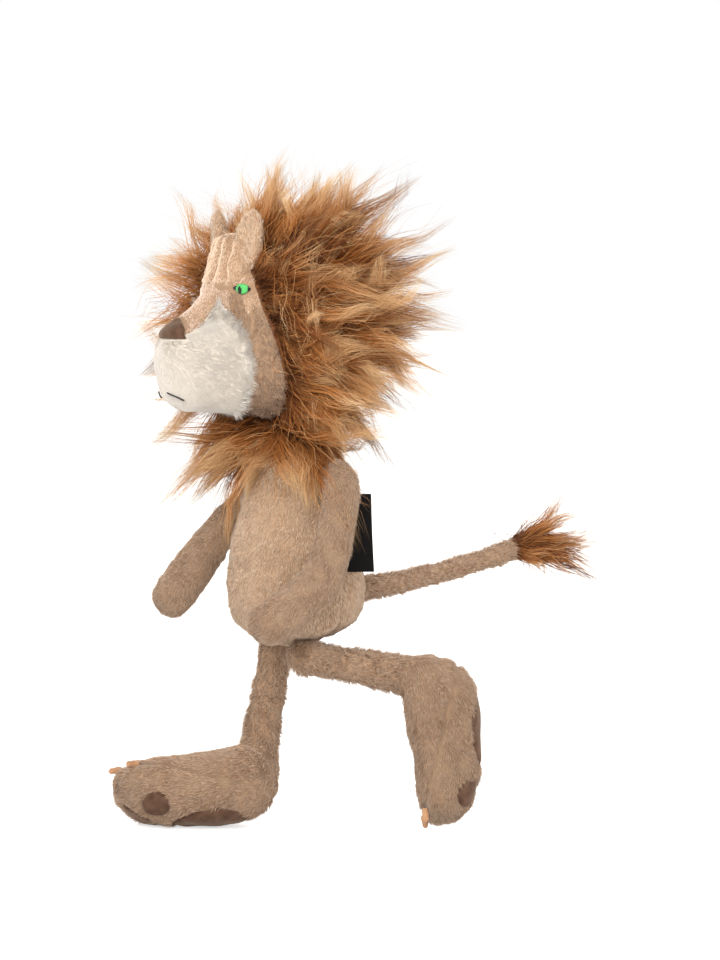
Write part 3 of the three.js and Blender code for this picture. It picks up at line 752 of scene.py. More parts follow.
def strand_mesh(
    name: str, paths: Points, radii: np.ndarray, tints: np.ndarray, outward: Points | None
) -> Mesh:
    """Builds closed three-sided strands, each tapering to a point.

    Args:
        name: the mesh's name.
        paths: strands, places from root to tip, coordinates.
        radii: strands by places but the tip, in metres.
        tints: one value from 0 to 1 a strand.
        outward: the skin's normals, where the strands lie with a flat side up like stroked pile.

    Returns:
        The mesh, with its fur map.
    """
    count, steps = paths.shape[:2]
    rings = steps - 1
    rng = np.random.default_rng(len(name) + count)
    forward = unit(np.gradient(paths, axis=1))
    stroked = outward is not None
    aside = outward[:, None] if stroked else rng.normal(size=(count, 1, 3))
    side = unit(np.cross(forward, aside))
    upward = np.cross(forward, side)
    angle = 2 * math.pi * np.arange(3) / 3 + math.radians(30)
    spokes = side[:, :rings, None] * np.cos(angle)[:, None] + upward[:, :rings, None] * np.sin(angle)[:, None]
    ring = spokes * radii[:, :, None, None] + paths[:, :rings, None]
    places = np.concatenate([ring.reshape(count, -1, 3), paths[:, -1:]], 1).reshape(-1, 3)
    tip, top = rings * 3, rings - 1
    # one strand's faces, by the point, the place across and the place along of each corner
    corners = [(0, 0, 0), (2, 2, 0), (1, 1, 0)]
    for r in range(top):
        for k in range(3):
            a, b = (r * 3 + k, k, r), (r * 3 + (k + 1) % 3, k + 1, r)
            c, d = (b[0] + 3, k + 1, r + 1), (a[0] + 3, k, r + 1)
            corners += [a, b, c, a, c, d]
    for k in range(3):
        corners += [(top * 3 + k, k, top), (top * 3 + (k + 1) % 3, k + 1, top), (tip, k + 0.5, rings)]
    point, across, along = np.array(corners, float).T
    index = (np.arange(count)[:, None] * (tip + 1) + point).ravel()
    mesh = bpy.data.meshes.new(name)
    mesh.vertices.add(len(places))
    mesh.vertices.foreach_set("co", places.astype(np.float32).ravel())
    mesh.loops.add(len(index))
    mesh.loops.foreach_set("vertex_index", index.astype(np.int32))
    mesh.polygons.add(len(index) // 3)
    mesh.polygons.foreach_set("loop_start", np.arange(0, len(index), 3, dtype=np.int32))
    mesh.polygons.foreach_set("use_smooth", np.full(len(index) // 3, not stroked))
    mesh.update(calc_edges=True)
    spread = 0.02  # how much of the map's width a strand takes
    u = tints[:, None] * (1 - spread) + across[None] / 3 * spread
    v = np.broadcast_to(along[None] / rings, u.shape)
    layer = mesh.uv_layers.new(name=FUR_MAP)
    layer.data.foreach_set("uv", np.stack([u, v], -1).astype(np.float32).ravel())
    return mesh


def add_piece(
    mesh: Mesh, material: Material, body: str, slot: str, *nodes: str, fill: float | None = None
) -> bpy.types.Object:
    """Links a finished mesh as a piece that rides on a body.

    Args:
        mesh: its mesh, in metres of the frame, which gives it its name.
        material: its finish.
        body: the body it rides on.
        slot: the record's material slot; not used.
        nodes: the solids of the frame that it stands for.
        fill: how tightly it is stuffed, where it is a stuffed cloth; not used.

    Returns:
        The piece.
    """
    piece = add_object(mesh.name, mesh)
    mesh.materials.append(material)
    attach(piece, body)
    if nodes:
        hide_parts(*nodes)
    log.info("%s: %d faces on %s", piece.name, len(mesh.polygons), body)
    return piece


def add_strands(
    name: str,
    paths: Points,
    radii: np.ndarray,
    tints: np.ndarray,
    material: Material,
    body: str,
    slot: str,
    outward: Points | None = None,
) -> None:
    """Adds strands as one or more pieces that stay within the count of faces.

    Args:
        name: start of the pieces' names.
        paths: strands, places, coordinates.
        radii: strands by places but the tip.
        tints: one value a strand.
        material: the hair's finish.
        body: the body they ride on.
        slot: the record's material slot.
        outward: the skin's normals under stroked strands.
    """
    each = 4 + 6 * (paths.shape[1] - 2)
    parts = math.ceil(len(paths) * each / MOST_FACES)
    for i, chosen in enumerate(np.array_split(np.arange(len(paths)), parts)):
        label = name if parts == 1 else f"{name}_{i + 1}"
        up = None if outward is None else outward[chosen]
        add_piece(strand_mesh(label, paths[chosen], radii[chosen], tints[chosen], up), material, body, slot)


def drawn_to(*vector: float) -> Field:
    """Makes a combing that runs the same way everywhere."""
    return lambda points: np.broadcast_to(np.array(vector, float), points.shape)


def drawn_along(line: Points) -> Field:
    """Makes a combing that runs along a path, given by places in metres."""
    forward = unit(np.gradient(line, axis=0))
    return lambda points: forward[nearest(line, points)]


@dataclass
class ShortPile:
    """Short plush pile: dense straight strands that lie down one way and part in small tufts."""

    length_mm: float = 4.0
    radius_mm: float = 0.21
    per_mm2: float = 2.0
    lift: float = 0.32
    least_lift: float = 0.22
    lay: float = 0.95
    unrest: float = 0.15
    tuft_mm: float = 9.0
    drift: float = 0.07
    mottle: float = 0.12
    mottle_mm: float = 3.4
    strand_tint: float = 0.14
    root_mm: float = 0.4
    stroked: bool = False
    seed: int = 3

    def plant(
        self,
        name: str,
        mesh: Mesh,
        comb: Field,
        hair: Material,
        body: str,
        slot: str,
        keep: Field | None = None,
    ) -> None:
        """Plants the pile on a skin.

        Args:
            name: the pieces' name.
            mesh: the skin.
            comb: the way the pile lies at each place.
            hair: the strands' finish.
            body: the body they ride on.
            slot: the record's material slot.
            keep: says where pile grows, everywhere if it is left out.
        """
        rng = np.random.default_rng(self.seed)
        roots, normals = scatter(mesh, self.per_mm2, rng)
        if keep is not None:
            grows = keep(roots)
            roots, normals = roots[grows], normals[grows]
        way = comb(roots)
        way = unit(way - normals * (way * normals).sum(1, keepdims=True))
        heading = unit(
            normals * self.lift
            + way * self.lay
            + swirl(self.seed, self.tuft_mm, roots) * self.unrest
            + swirl(self.seed + 9, self.tuft_mm * 4, roots) * self.unrest * 0.6
            + rng.normal(size=roots.shape) * self.unrest * 0.5
        )
        inward = np.minimum((heading * normals).sum(1, keepdims=True) - self.least_lift, 0)
        heading = unit(heading - normals * inward)
        lengths = self.length_mm * MM * rng.uniform(0.7, 1.15, (len(roots), 1))
        paths = np.stack([roots - normals * self.root_mm * MM, roots + heading * lengths], 1)
        radii = self.radius_mm * MM * rng.uniform(0.8, 1.2, (len(roots), 1))
        drift = waves(self.seed + 5, self.tuft_mm * 2.2, roots) * self.drift
        drift += waves(self.seed + 6, self.mottle_mm, roots) * self.mottle
        tints = np.clip(0.5 + drift + rng.normal(size=len(roots)) * self.strand_tint, 0, 1)
        add_strands(name, paths, radii, tints, hair, body, slot, normals if self.stroked else None)


def kept_inside(paths: Points, margin_mm: np.ndarray) -> Points:
    """Shortens the strands that would reach beyond the lion's outer measures.

    Args:
        paths: strands, places, coordinates.
        margin_mm: how far inside each strand ends.

    Returns:
        The strands.
    """
    low, high = np.array(REACH_MM) * MM
    margin = margin_mm[:, None] * MM
    roots = paths[:, 0]
    room_high = (high - margin - roots) / np.maximum(paths.max(1) - roots, 1e-6)
    room_low = (roots - low - margin) / np.maximum(roots - paths.min(1), 1e-6)
    share = np.clip(np.minimum(room_high, room_low).min(1), 0.3, 1)
    return roots[:, None] + (paths - roots[:, None]) * share[:, None, None]


@dataclass
class LongHair:
    """Long mane hair: soft strands that gather in pointed locks, with stray ones between."""

    length_mm: float
    locks: int
    seed: int
    radius_mm: float = 0.24
    spread: float = 0.3
    gather: float = 0.8
    curl_mm: float = 5.0
    wave_mm: float = 1.8
    sag: float = 0.12
    bend: float = 0.2
    unrest: float = 0.16
    stray: float = 0.1
    stray_unrest: float = 0.45
    stray_gather: float = 0.15
    overlap_mm: float = 2.5
    lock_tint: float = 0.25
    strand_tint: float = 0.12
    unrest_mm: float = 19.0
    steps: int = 6

    def plant(
        self,
        name: str,
        planted: tuple[Points, Points],
        guide: Guide,
        hair: Material,
        body: str,
        length: Field | None = None,
        paler: Field | None = None,
    ) -> None:
        """Grows the hair from its roots.

        Args:
            name: the pieces' name.
            planted: places of the roots and the skin's normals there.
            guide: the way the hair leaves the skin.
            hair: the strands' finish.
            body: the body it rides on.
            length: share of the full length at each root.
            paler: what is added to the tint at each root.
        """
        rng = np.random.default_rng(self.seed)
        roots, normals = planted
        count = len(roots)
        centres = rng.choice(count, min(self.locks, count), replace=False)
        each_lock = (len(centres), 3)
        # a strand picks its lock with a little chance, so that locks overlap
        lock = nearest(roots[centres], roots + rng.normal(size=roots.shape) * self.overlap_mm * MM)
        ways = unit(guide(roots, normals))
        lock_way = unit(ways[centres] + rng.normal(size=each_lock) * self.spread)
        lock_length = self.length_mm * MM * rng.uniform(0.6, 1.2, len(centres))
        bend = rng.normal(size=each_lock) * self.bend - np.array((0, 0, self.sag))
        curl_axis = unit(rng.normal(size=each_lock))
        curl = rng.uniform(0.4, 1.3, len(centres)) * self.curl_mm * MM
        turns, phase = rng.uniform(0.6, 1.5, len(centres)), rng.uniform(0, 6.28, len(centres))
        shares = np.ones(count) if length is None else length(roots)
        reach = (lock_length[lock] * shares * rng.uniform(0.8, 1.12, count))[:, None, None]
        way = unit(0.45 * ways + 0.55 * lock_way[lock] + rng.normal(size=roots.shape) * self.unrest)
        loose = rng.uniform(size=count) < self.stray
        strayed = unit(way + rng.normal(size=roots.shape) * self.stray_unrest)
        way = np.where(loose[:, None], strayed, way)
        t = np.linspace(0, 1, self.steps)[None, :, None]
        wave = np.sin(2 * math.pi * turns[lock][:, None] * t[..., 0] + phase[lock][:, None]) * t[..., 0]
        shared = (
            bend[lock][:, None] * reach * t**2
            + curl_axis[lock][:, None] * (curl[lock][:, None] * wave)[..., None]
        )
        alone = roots[:, None] + way[:, None] * reach * t + shared
        start = roots[centres][lock]
        led = (
            start[:, None]
            + lock_way[lock][:, None] * reach * t
            + shared
            + (roots - start)[:, None] * (1 - t) ** 1.2
        )
        gather = np.where(loose, self.stray_gather, self.gather * rng.uniform(0.85, 1.1, count))
        pull = np.clip(gather[:, None, None] * t**0.9, 0, 1)
        paths = alone * (1 - pull) + led * pull
        unrest = swirl(self.seed, self.unrest_mm, paths.reshape(-1, 3)).reshape(paths.shape)
        paths = paths + unrest * t * self.wave_mm * MM
        paths = kept_inside(paths, rng.uniform(0, 14, len(centres))[lock] + rng.uniform(0, 4, count))
        taper = (1 - np.linspace(0, 1, self.steps)[:-1] ** 1.6) * 0.9 + 0.1
        radii = self.radius_mm * MM * taper[None] * rng.uniform(0.75, 1.2, (count, 1))
        lock_tint = rng.normal(size=len(centres)) * self.lock_tint
        tints = 0.5 + lock_tint[lock] + rng.normal(size=count) * self.strand_tint
        tints = np.clip(tints if paler is None else tints + paler(roots), 0, 1)
        add_strands(name, paths, radii, tints, hair, body, "long_pile")


@dataclass
class Torso:
    """Pear-shaped torso of two panels, with the bare side label in its left seam. Millimetres."""

    finishes: Finishes
    height: float = 128.0
    radius: float = 40.5
    cap_share: float = 0.42
    axis_x: float = -2.5
    crotch_z: float = 116.0
    belly: float = 0.5
    seam_x: float = 10.0
    seam_depth: float = 1.6
    seam_width: float = 2.6
    seam_parting: float = 0.35
    lump: float = 0.7
    shares: Shares = (0.66, 0.93, 1.0, 0.96, 0.87, 0.78, 0.71, 0.62)
    belly_shares: Shares = (0.2, 0.8, 1.0, 0.8, 0.4, 0.0, 0.0, 0.0)
    label_tall: float = 45.0
    label_thick: float = 0.9
    label_curl: float = 0.9
    label_bow: float = 0.5
    label_out: float = 1.2
    label_edge: float = 0.25

    def form(self) -> StuffedForm:
        """Gives the torso's stuffed form.

        Returns:
            The form.
        """
        last = len(self.belly_shares) - 1
        path = [
            (self.axis_x - self.belly * share, 0.0, self.crotch_z + self.height * i / last)
            for i, share in enumerate(self.belly_shares)
        ]
        cap = self.radius * self.cap_share
        return StuffedForm(path, scaled(self.radius, self.shares), (cap, cap), rows=64, sides=72)

    def seam_gap(self, points: Points) -> np.ndarray:
        """Says how far points lie from the side seams and the closing seam underneath."""
        return np.abs(own(points)[:, 0] - self.seam_x)

    def build(self) -> None:
        """Builds the torso, its pile and its label."""
        mesh = stuffed_mesh("torso_cloth", [self.form()])
        places = places_of(mesh)
        pulled = self.seam_depth * groove(self.seam_gap(places), self.seam_width)
        push(mesh, lumps(places, 40, self.lump) - pulled)
        nodes = ("torso_front_panel", "torso_back_panel", "torso_stuffing")
        add_piece(mesh, self.finishes.plush, "torso", "tan_plush", *nodes, fill=STUFFED)
        pile = ShortPile(3.4, 0.24, 1.6, unrest=0.12, tuft_mm=10, seed=21)
        pile.plant(
            "torso_pile",
            mesh,
            drawn_to(0, 0, -1),
            self.finishes.chest_hair,
            "torso",
            "tan_plush",
            lambda points: self.seam_gap(points) > self.seam_parting,
        )
        self.build_label()

    def build_label(self) -> None:
        """Builds the folded ribbon, bare on both faces."""
        low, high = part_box("side_label")
        middle = (low + high) / 2
        span = high - low
        lean = (high.y - low.y - self.label_thick * MM) / span.z

        def lay(a: float, b: float) -> Vector:
            """Bows the ribbon a little both ways.

            Args:
                a: place across, -1 to 1.
                b: place up, -1 to 1.

            Returns:
                The place in the frame.
            """
            x, z = a / 2, b / 2
            curl = self.label_curl * MM * math.sin((x + 0.5) * 2.6) - self.label_bow * MM * math.cos(z * 3)
            y = middle.y + z * span.z * lean - curl + self.label_out * MM
            return Vector((middle.x + (x * 1.04 - 0.02) * span.x, y, middle.z + z * self.label_tall * MM))

        mesh = drape("label_ribbon", (16, 24), lay, self.label_thick)
        piece = add_piece(mesh, self.finishes.ribbon, "torso", "black_ribbon", "side_label")
        soften = piece.modifiers.new("soften", "BEVEL")
        soften.width = self.label_edge * MM
        soften.segments = 2


def joint_place(name: str) -> Points:
    """Reads where a joint is, in metres."""
    return np.array(next(joint["pos_m"] for joint in frame["joints"] if joint["name"] == name))


@dataclass
class Limb:
    """Tube of plush stuffed loosely, let into its seat at its joint. Millimetres from there."""

    finishes: Finishes
    name: str
    joint: str
    path: Sequence[Place]
    radius: float
    shares: Shares
    seed: int
    pile: ShortPile
    cloth: Material
    sideways: Place = (0.0, 1.0, 0.0)
    turn: float | None = None
    lump: float = 0.55

    def to_frame(self, points: Points) -> Points:
        """Turns the limb's own millimetres into metres of the frame."""
        turn = LEAN if self.turn is None else np.array(Matrix.Rotation(self.turn, 3, "Y"))
        return points @ turn.T * MM + joint_place(self.joint)

    def build(self) -> None:
        """Builds the limb's cloth and pile."""
        wide = scaled(self.radius, self.shares)
        form = StuffedForm(self.path, wide, (wide[0], wide[-1]), sideways=self.sideways, rows=56, sides=36)
        mesh = stuffed_mesh(f"{self.name}_cloth", [form], self.to_frame)
        push(mesh, lumps(places_of(mesh), self.seed, self.lump))
        nodes = (f"{self.name}_cover", f"{self.name}_stuffing")
        add_piece(mesh, self.cloth, self.name, "tan_plush", *nodes, fill=STUFFED)
        self.pile.seed = self.seed + 3
        comb = drawn_along(self.to_frame(form.line()))
        self.pile.plant(f"{self.name}_pile", mesh, comb, self.finishes.plush_hair, self.name, "tan_plush")


@dataclass
class Arms:
    """The two arms: the left one is bent at the elbow, the right one hangs forward."""

    finishes: Finishes
    radius: float = 10.6
    slant: float = -0.6
    shares: Shares = (1.0, 1.0, 0.97, 1.0, 1.07, 1.14, 1.1)
    root: tuple[Place, ...] = ((0, 10, 0), (0, 0, 0))
    paths: tuple[tuple[Place, ...], ...] = (
        ((-3, -14, -6), (-11, -23, -28), (-18, -25, -52), (-37, -26, -70), (-64, -24, -86)),
        ((-4, -14, -5), (-21, -22, -27), (-39, -25, -46), (-56, -26, -67), (-73, -25, -88)),
    )

    def build(self) -> None:
        """Builds both arms."""
        length = math.hypot(1, self.slant)
        for side, path in zip(Side, self.paths):
            Limb(
                self.finishes,
                f"arm_{side.word}",
                f"shoulder_{side.word}",
                [(x, -side.value * y, z) for x, y, z in self.root + path],
                self.radius,
                self.shares,
                70 + side.value,
                ShortPile(3.4),
                self.finishes.limb,
                (1 / length, 0.0, self.slant / length),
            ).build()


@dataclass
class LegsAndFeet:
    """Thin legs and large padded feet, in mid stride. Millimetres from each ankle."""

    finishes: Finishes
    leg_length: float = 60.0
    leg_radius: float = 9.6
    splay: float = 6.0
    leg_shares: Shares = (1.08, 1.06, 0.95, 0.96, 1.02, 1.1, 1.08)
    length: float = 101.0
    width: float = 48.0
    heel_x: float = 11.0
    heel_z: float = -23.5
    toe_z: float = -29.5
    top: float = 20.0
    bottom: float = 25.0
    caps: tuple[float, float] = (17.0, 24.0)
    squareness: float = 2.3
    cuff_shares: Shares = (1.5, 1.3, 1.12, 1.02)
    cuff_path: tuple[Place, ...] = ((-3.0, 0.0, -22.0), (-1.5, 0.0, -11.0), (0.0, 0.0, 3.0))
    cuff_cap: float = 4.0
    seam_toe_z: float = -17.5
    seam_heel_z: float = -36.5
    seam_reach: float = 6.0
    seam_depth: float = 1.3
    seam_width: float = 2.2
    seam_parting: float = 1.1
    sole_drop: float = 8.0
    floor_gap: float = 0.6
    lump: float = 0.5
    skin_voxel: float = 1.5
    pad_sink: float = 1.2
    pad_sink_share: float = 0.6
    pad_rim: float = 0.2
    pad_swell: float = 1.1
    below: float = 60.0
    top_shares: Shares = (0.6, 0.62, 0.68, 0.82, 0.96, 1.06, 1.0)
    bottom_shares: Shares = (0.72, 0.88, 1.0, 1.02, 1.0, 0.9, 0.84)
    width_shares: Shares = (0.84, 0.99, 1.02, 0.98, 0.92, 0.88, 0.84)
    turns_deg: tuple[Place, Place] = ((-28.0, -10.0, 0.0), (-24.0, -3.0, -14.0))
    # middle, length and width of the sole's pad and the toes' pads
    pad_shapes: tuple[tuple[float, float, float, float], ...] = (
        (-31.0, 0.0, 44.0, 30.0),
        (-67.0, -15.5, 17.0, 12.5),
        (-76.0, 0.0, 17.0, 12.5),
        (-67.0, 15.5, 17.0, 12.5),
    )
    pad_thick: float = 0.8
    toe_words: tuple[str, ...] = ("inner", "middle", "outer")
    claw_share: float = 0.68

    @property
    def toe_x(self) -> float:
        """Where the foot ends in front."""
        return self.heel_x - self.length

    def hip_turn(self, side: Side) -> float:
        """Works out how far a leg is turned at the hip, from the frame's joints."""
        run = joint_place(f"ankle_{side.word}") - joint_place(f"hip_{side.word}")
        return math.atan2(-run[0], -run[2])

    def foot_matrix(self, side: Side) -> Matrix:
        """Gives a foot's place and turn in the frame.

        Args:
            side: which foot.

        Returns:
            The matrix from millimetres at the ankle to metres of the frame.
        """
        roll, pitch, yaw = (math.radians(angle) for angle in dict(zip(Side, self.turns_deg))[side])
        turn = Matrix.Rotation(yaw, 4, "Z") @ Matrix.Rotation(pitch, 4, "Y") @ Matrix.Rotation(roll, 4, "X")
        place = Matrix.Translation(Vector(joint_place(f"ankle_{side.word}")))
        return place @ Matrix.Rotation(self.hip_turn(side), 4, "Y") @ turn @ Matrix.Scale(MM, 4)

    def build(self) -> None:
        """Builds both legs and both feet."""
        for side in Side:
            self.build_leg(side)
            self.build_foot(side)

    def build_leg(self, side: Side) -> None:
        """Builds one leg.

        Args:
            side: which leg.
        """
        reach = self.leg_radius * self.leg_shares[0]
        y, z = side.value * self.splay, -self.leg_length
        Limb(
            self.finishes,
            f"leg_{side.word}",
            f"hip_{side.word}",
            [(0, 0, reach), (0, 0, 0), (0, y / 2, z / 2), (0, y, z), (0, y, z - reach)],
            self.leg_radius,
            self.leg_shares,
            90 + side.value,
            ShortPile(**FLUFFY),
            self.finishes.plush,
            turn=self.hip_turn(side),
        ).build()

    def forms(self) -> list[StuffedForm]:
        """Gives the foot's stuffed form and the cuff that joins it to the leg.

        Returns:
            The two forms.
        """
        middle = ((self.heel_x + self.toe_x) / 2, 0.0, (self.heel_z + self.toe_z) / 2)
        foot = StuffedForm(
            [(self.toe_x, 0.0, self.toe_z), middle, (self.heel_x, 0.0, self.heel_z)],
            scaled(self.width / 2, self.width_shares),
            self.caps,
            scaled(self.top, self.top_shares),
            scaled(self.bottom, self.bottom_shares),
            self.squareness,
        )
        wide = scaled(self.leg_radius * self.leg_shares[-1], self.cuff_shares)
        return [foot, StuffedForm(self.cuff_path, wide, (self.cuff_cap, self.cuff_cap))]

    def seam_gap(self, local: Points) -> np.ndarray:
        """Says how far points in the foot's millimetres lie above the seam of the sole."""
        lean = (self.seam_heel_z - self.seam_toe_z) / (self.length + 2 * self.seam_reach)
        return local[:, 2] - (self.seam_toe_z + lean * (local[:, 0] - self.toe_x + self.seam_reach))

    def pads_gap(self, local: Points) -> np.ndarray:
        """Says how far points are outside the pads' outlines, seen from below.

        Args:
            local: places in the foot's millimetres.

        Returns:
            Millimetres outside the nearest pad, negative inside it.
        """
        gaps = []
        for x, y, long, wide in self.pad_shapes:
            share = np.hypot((local[:, 0] - x) / (long / 2), (local[:, 1] - y) / (wide / 2))
            gaps.append((share - 1) * wide / 2)
        return np.min(gaps, axis=0)

    def build_foot(self, side: Side) -> None:
        """Builds one foot with its pads and claws.

        Args:
            side: which foot.
        """
        body = f"foot_{side.word}"
        matrix = self.foot_matrix(side)
        turn = np.array(matrix)
        back = np.linalg.inv(turn)

        def to_frame(points: Points) -> Points:
            """Turns the foot's own millimetres into metres of the frame."""
            return points @ turn[:3, :3].T + turn[:3, 3]

        def to_foot(points: Points) -> Points:
            """Turns metres of the frame into the foot's own millimetres."""
            return points @ back[:3, :3].T + back[:3, 3]

        def keep(points: Points) -> np.ndarray:
            """Leaves the pads, the seam of the sole and what touches the floor bare.

            Args:
                points: places in the frame.

            Returns:
                Which of them carry pile.
            """
            at = to_foot(points)
            padded = (self.pads_gap(at) < 0) & (at[:, 2] < self.heel_z - self.sole_drop)
            clear = np.abs(self.seam_gap(at)) > self.seam_parting
            return ~padded & clear & (points[:, 2] > 2 * self.floor_gap * MM)

        mesh = fuse(stuffed_mesh(f"{body}_cloth", self.forms(), to_frame), self.skin_voxel, 3)
        places = places_of(mesh)
        local = to_foot(places)
        sunk = np.clip(self.pad_sink - np.maximum(self.pads_gap(local), 0) / 2, 0, self.pad_sink)
        sunk = np.where(local[:, 2] < self.heel_z - self.sole_drop, sunk, 0)
        pulled = self.seam_depth * groove(self.seam_gap(local), self.seam_width)
        push(mesh, lumps(places, 110 + side.value, self.lump) - pulled - sunk * self.pad_sink_share)
        # what would sink below the floor is pressed flat against it
        places = places_of(mesh)
        places[:, 2] = np.maximum(places[:, 2], self.floor_gap * MM)
        move_to(mesh, places)
        nodes = (f"{body}_upper", f"{body}_sole", f"{body}_stuffing")
        add_piece(mesh, self.finishes.limb, body, "tan_plush", *nodes, fill=STUFFED)
        ridge = np.array([(self.heel_x, 0.0, 10.0), (0.0, 0.0, -4.0), (self.toe_x, 0.0, self.toe_z)])
        comb = drawn_along(smooth_path(to_frame(ridge)))
        pile = ShortPile(radius_mm=0.24, per_mm2=1.6, unrest=0.16, seed=130 + side.value)
        pile.plant(f"{body}_pile", mesh, comb, self.finishes.plush_hair, body, "tan_plush", keep)
        tree = tree_of(mesh)
        names = [f"{body}_sole_pad", *(f"{body}_toe_pad_{toe}" for toe in self.toe_words)]
        for name, (x, y, long, wide) in zip(names, self.pad_shapes):
            self.build_pad(name, body, matrix, tree, (x, side.value * y, long, wide))
        for toe in self.toe_words:
            self.build_claw(f"{body}_claw_{toe}", body, Vector(joint_place(f"ankle_{side.word}")))

    def build_pad(
        self, name: str, body: str, matrix: Matrix, tree: BVHTree, shape: tuple[float, float, float, float]
    ) -> None:
        """Lays one velour pad on the sole.

        Args:
            name: the pad's node.
            body: the foot.
            matrix: from the foot's millimetres to the frame.
            tree: the foot's cloth.
            shape: the pad's middle, length and width.
        """
        x, y, long, wide = shape
        up = (matrix.to_3x3() @ Vector((0, 0, 1))).normalized()

        def lay(a: float, b: float) -> Vector:
            """Lifts a place of the pad to the sole.

            Args:
                a: place across, -1 to 1.
                b: place up, -1 to 1.

            Returns:
                The place in the frame.
            """
            c, d = disc(a, b)
            start = matrix @ Vector((x + c * long / 2, y + d * wide / 2, self.heel_z - self.below))
            hit, normal, _, _ = tree.ray_cast(start, up)
            raised = self.pad_rim + self.pad_swell * swell(1 - math.hypot(c, d), 5)
            place = hit + normal * raised * MM
            place.z = max(place.z, 0.0)
            return place

        mesh = drape(f"{name}_velour", (20, 20), lay, self.pad_thick)
        add_piece(mesh, self.finishes.velour, body, "brown_velour", name)

    def build_claw(self, node: str, body: str, ankle: Vector) -> None:
        """Dresses one claw: a small curled tongue of felt.

        Args:
            node: the claw's node.
            body: the foot.
            ankle: its joint's place.
        """
        bm = bmesh.new()
        bm.from_mesh(frame["nodes"][node].data)
        bmesh.ops.remove_doubles(bm, verts=bm.verts, dist=1e-6)
        bmesh.ops.subdivide_edges(bm, edges=bm.edges[:], cuts=1, smooth=0.6, use_grid_fill=True)
        smooth(bm, 0.4)
        root = min((vert.co for vert in bm.verts), key=lambda place: (place - ankle).length).copy()
        tip = max((vert.co for vert in bm.verts), key=lambda place: (place - root).length)
        along = (tip - root).normalized()
        for vert in bm.verts:
            vert.co -= along * (vert.co - root).dot(along) * (1 - self.claw_share)
        add_piece(mesh_from(f"{node}_felt", bm), self.finishes.felt, body, "claw_felt", node)


@dataclass
class Tail:
    """Thin stuffed tail with a tuft of mane hair. Millimetres from its root."""

    finishes: Finishes
    length: float = 118.0
    radius: float = 5.9
    rise: float = 19.0
    sag: float = 3.0
    shares: Shares = (1.15, 1.1, 1.0, 0.96, 0.96, 1.0)
    core_radius: float = 6.4
    core_reach: tuple[float, float] = (7.0, 10.0)
    core_caps: tuple[float, float] = (5.0, 8.0)
    tuft_length: float = 44.0
    tuft_per_mm2: float = 2.6
    bend_shares: Shares = (0.35, 0.7)

    def build(self) -> None:
        """Builds the tail and its tuft."""
        run = self.length - self.radius
        reach = self.radius * self.shares[0]
        bends = [(run * share, 0.0, self.rise * share - self.sag) for share in self.bend_shares]
        path = [(-reach, 0, 0), (0, 0, 0), *bends, (run, 0, self.rise)]
        pile = ShortPile(3.8, **FLUFFY)
        finishes = self.finishes
        tail = Limb(
            finishes, "tail", "tail_swing", path, self.radius, self.shares, 150, pile, finishes.plush
        )
        tail.build()
        self.build_tuft(tail, np.array(path[-1], float), np.array(path[-2], float))

    def build_tuft(self, tail: Limb, end: Points, before: Points) -> None:
        """Builds the tuft's small brown core and its hair.

        Args:
            tail: what it is sewn to.
            end: the tail's end, in its own millimetres.
            before: the bend before it.
        """
        out = unit((end - before)[None])[0]
        way = LEAN @ out
        tip = LEAN @ end * MM + joint_place(tail.joint)
        back, ahead = self.core_reach
        path = [tuple(end - out * back), tuple(end), tuple(end + out * ahead)]
        core = StuffedForm(path, [self.core_radius] * 3, self.core_caps, rows=16, sides=20)
        mesh = stuffed_mesh("tail_tuft_core", [core], tail.to_frame)
        add_piece(mesh, self.finishes.mane, "tail", "long_pile", "tail_tuft")

        def guide(points: Points, normals: Points) -> Points:
            """Lets the hair lie along the tail and spread a little."""
            return way[None] * 1.5 + normals * 0.5 - np.array((0.0, 0.0, 0.25))

        LongHair(self.tuft_length, 50, 162, radius_mm=0.22, spread=0.16, curl_mm=2.5).plant(
            "tail_tuft_hair",
            scatter(mesh, self.tuft_per_mm2, np.random.default_rng(161)),
            guide,
            self.finishes.mane_hair,
            "tail",
            lambda points: 0.72 + 0.3 * np.clip((points - tip) @ way / (8 * MM), -1, 1),
        )


@dataclass
class Patch:
    """Thin round patch that follows the cloth under it. Millimetres, its middle in metres."""

    middle: Points
    facing: Place
    wide: float
    tall: float
    lift: float
    cells: int = 18
    thick: float = 0.9
    away: float = 25.0

    def build(self, name: str, tree: BVHTree) -> Mesh:
        """Drops a grid on the cloth and gives it a thickness.

        Args:
            name: the mesh's name.
            tree: the cloth.

        Returns:
            The mesh.
        """
        out = Vector(self.facing).normalized()
        across = Vector((0, 0, 1)).cross(out).normalized()
        upward = out.cross(across)

        def lay(a: float, b: float) -> Vector:
            """Drops one place on the cloth.

            Args:
                a: place across, -1 to 1.
                b: place up, -1 to 1.

            Returns:
                The place in the frame.
            """
            c, d = disc(a, b)
            place = Vector(self.middle) + across * c * self.wide * MM + upward * d * self.tall * MM
            hit, normal, _, _ = tree.ray_cast(place + out * self.away * MM, -out)
            raised = self.lift * (0.45 + 0.55 * swell(1 - math.hypot(c, d), 4))
            return (hit or place) + (normal or out) * raised * MM

        return drape(name, (self.cells, self.cells), lay, self.thick)


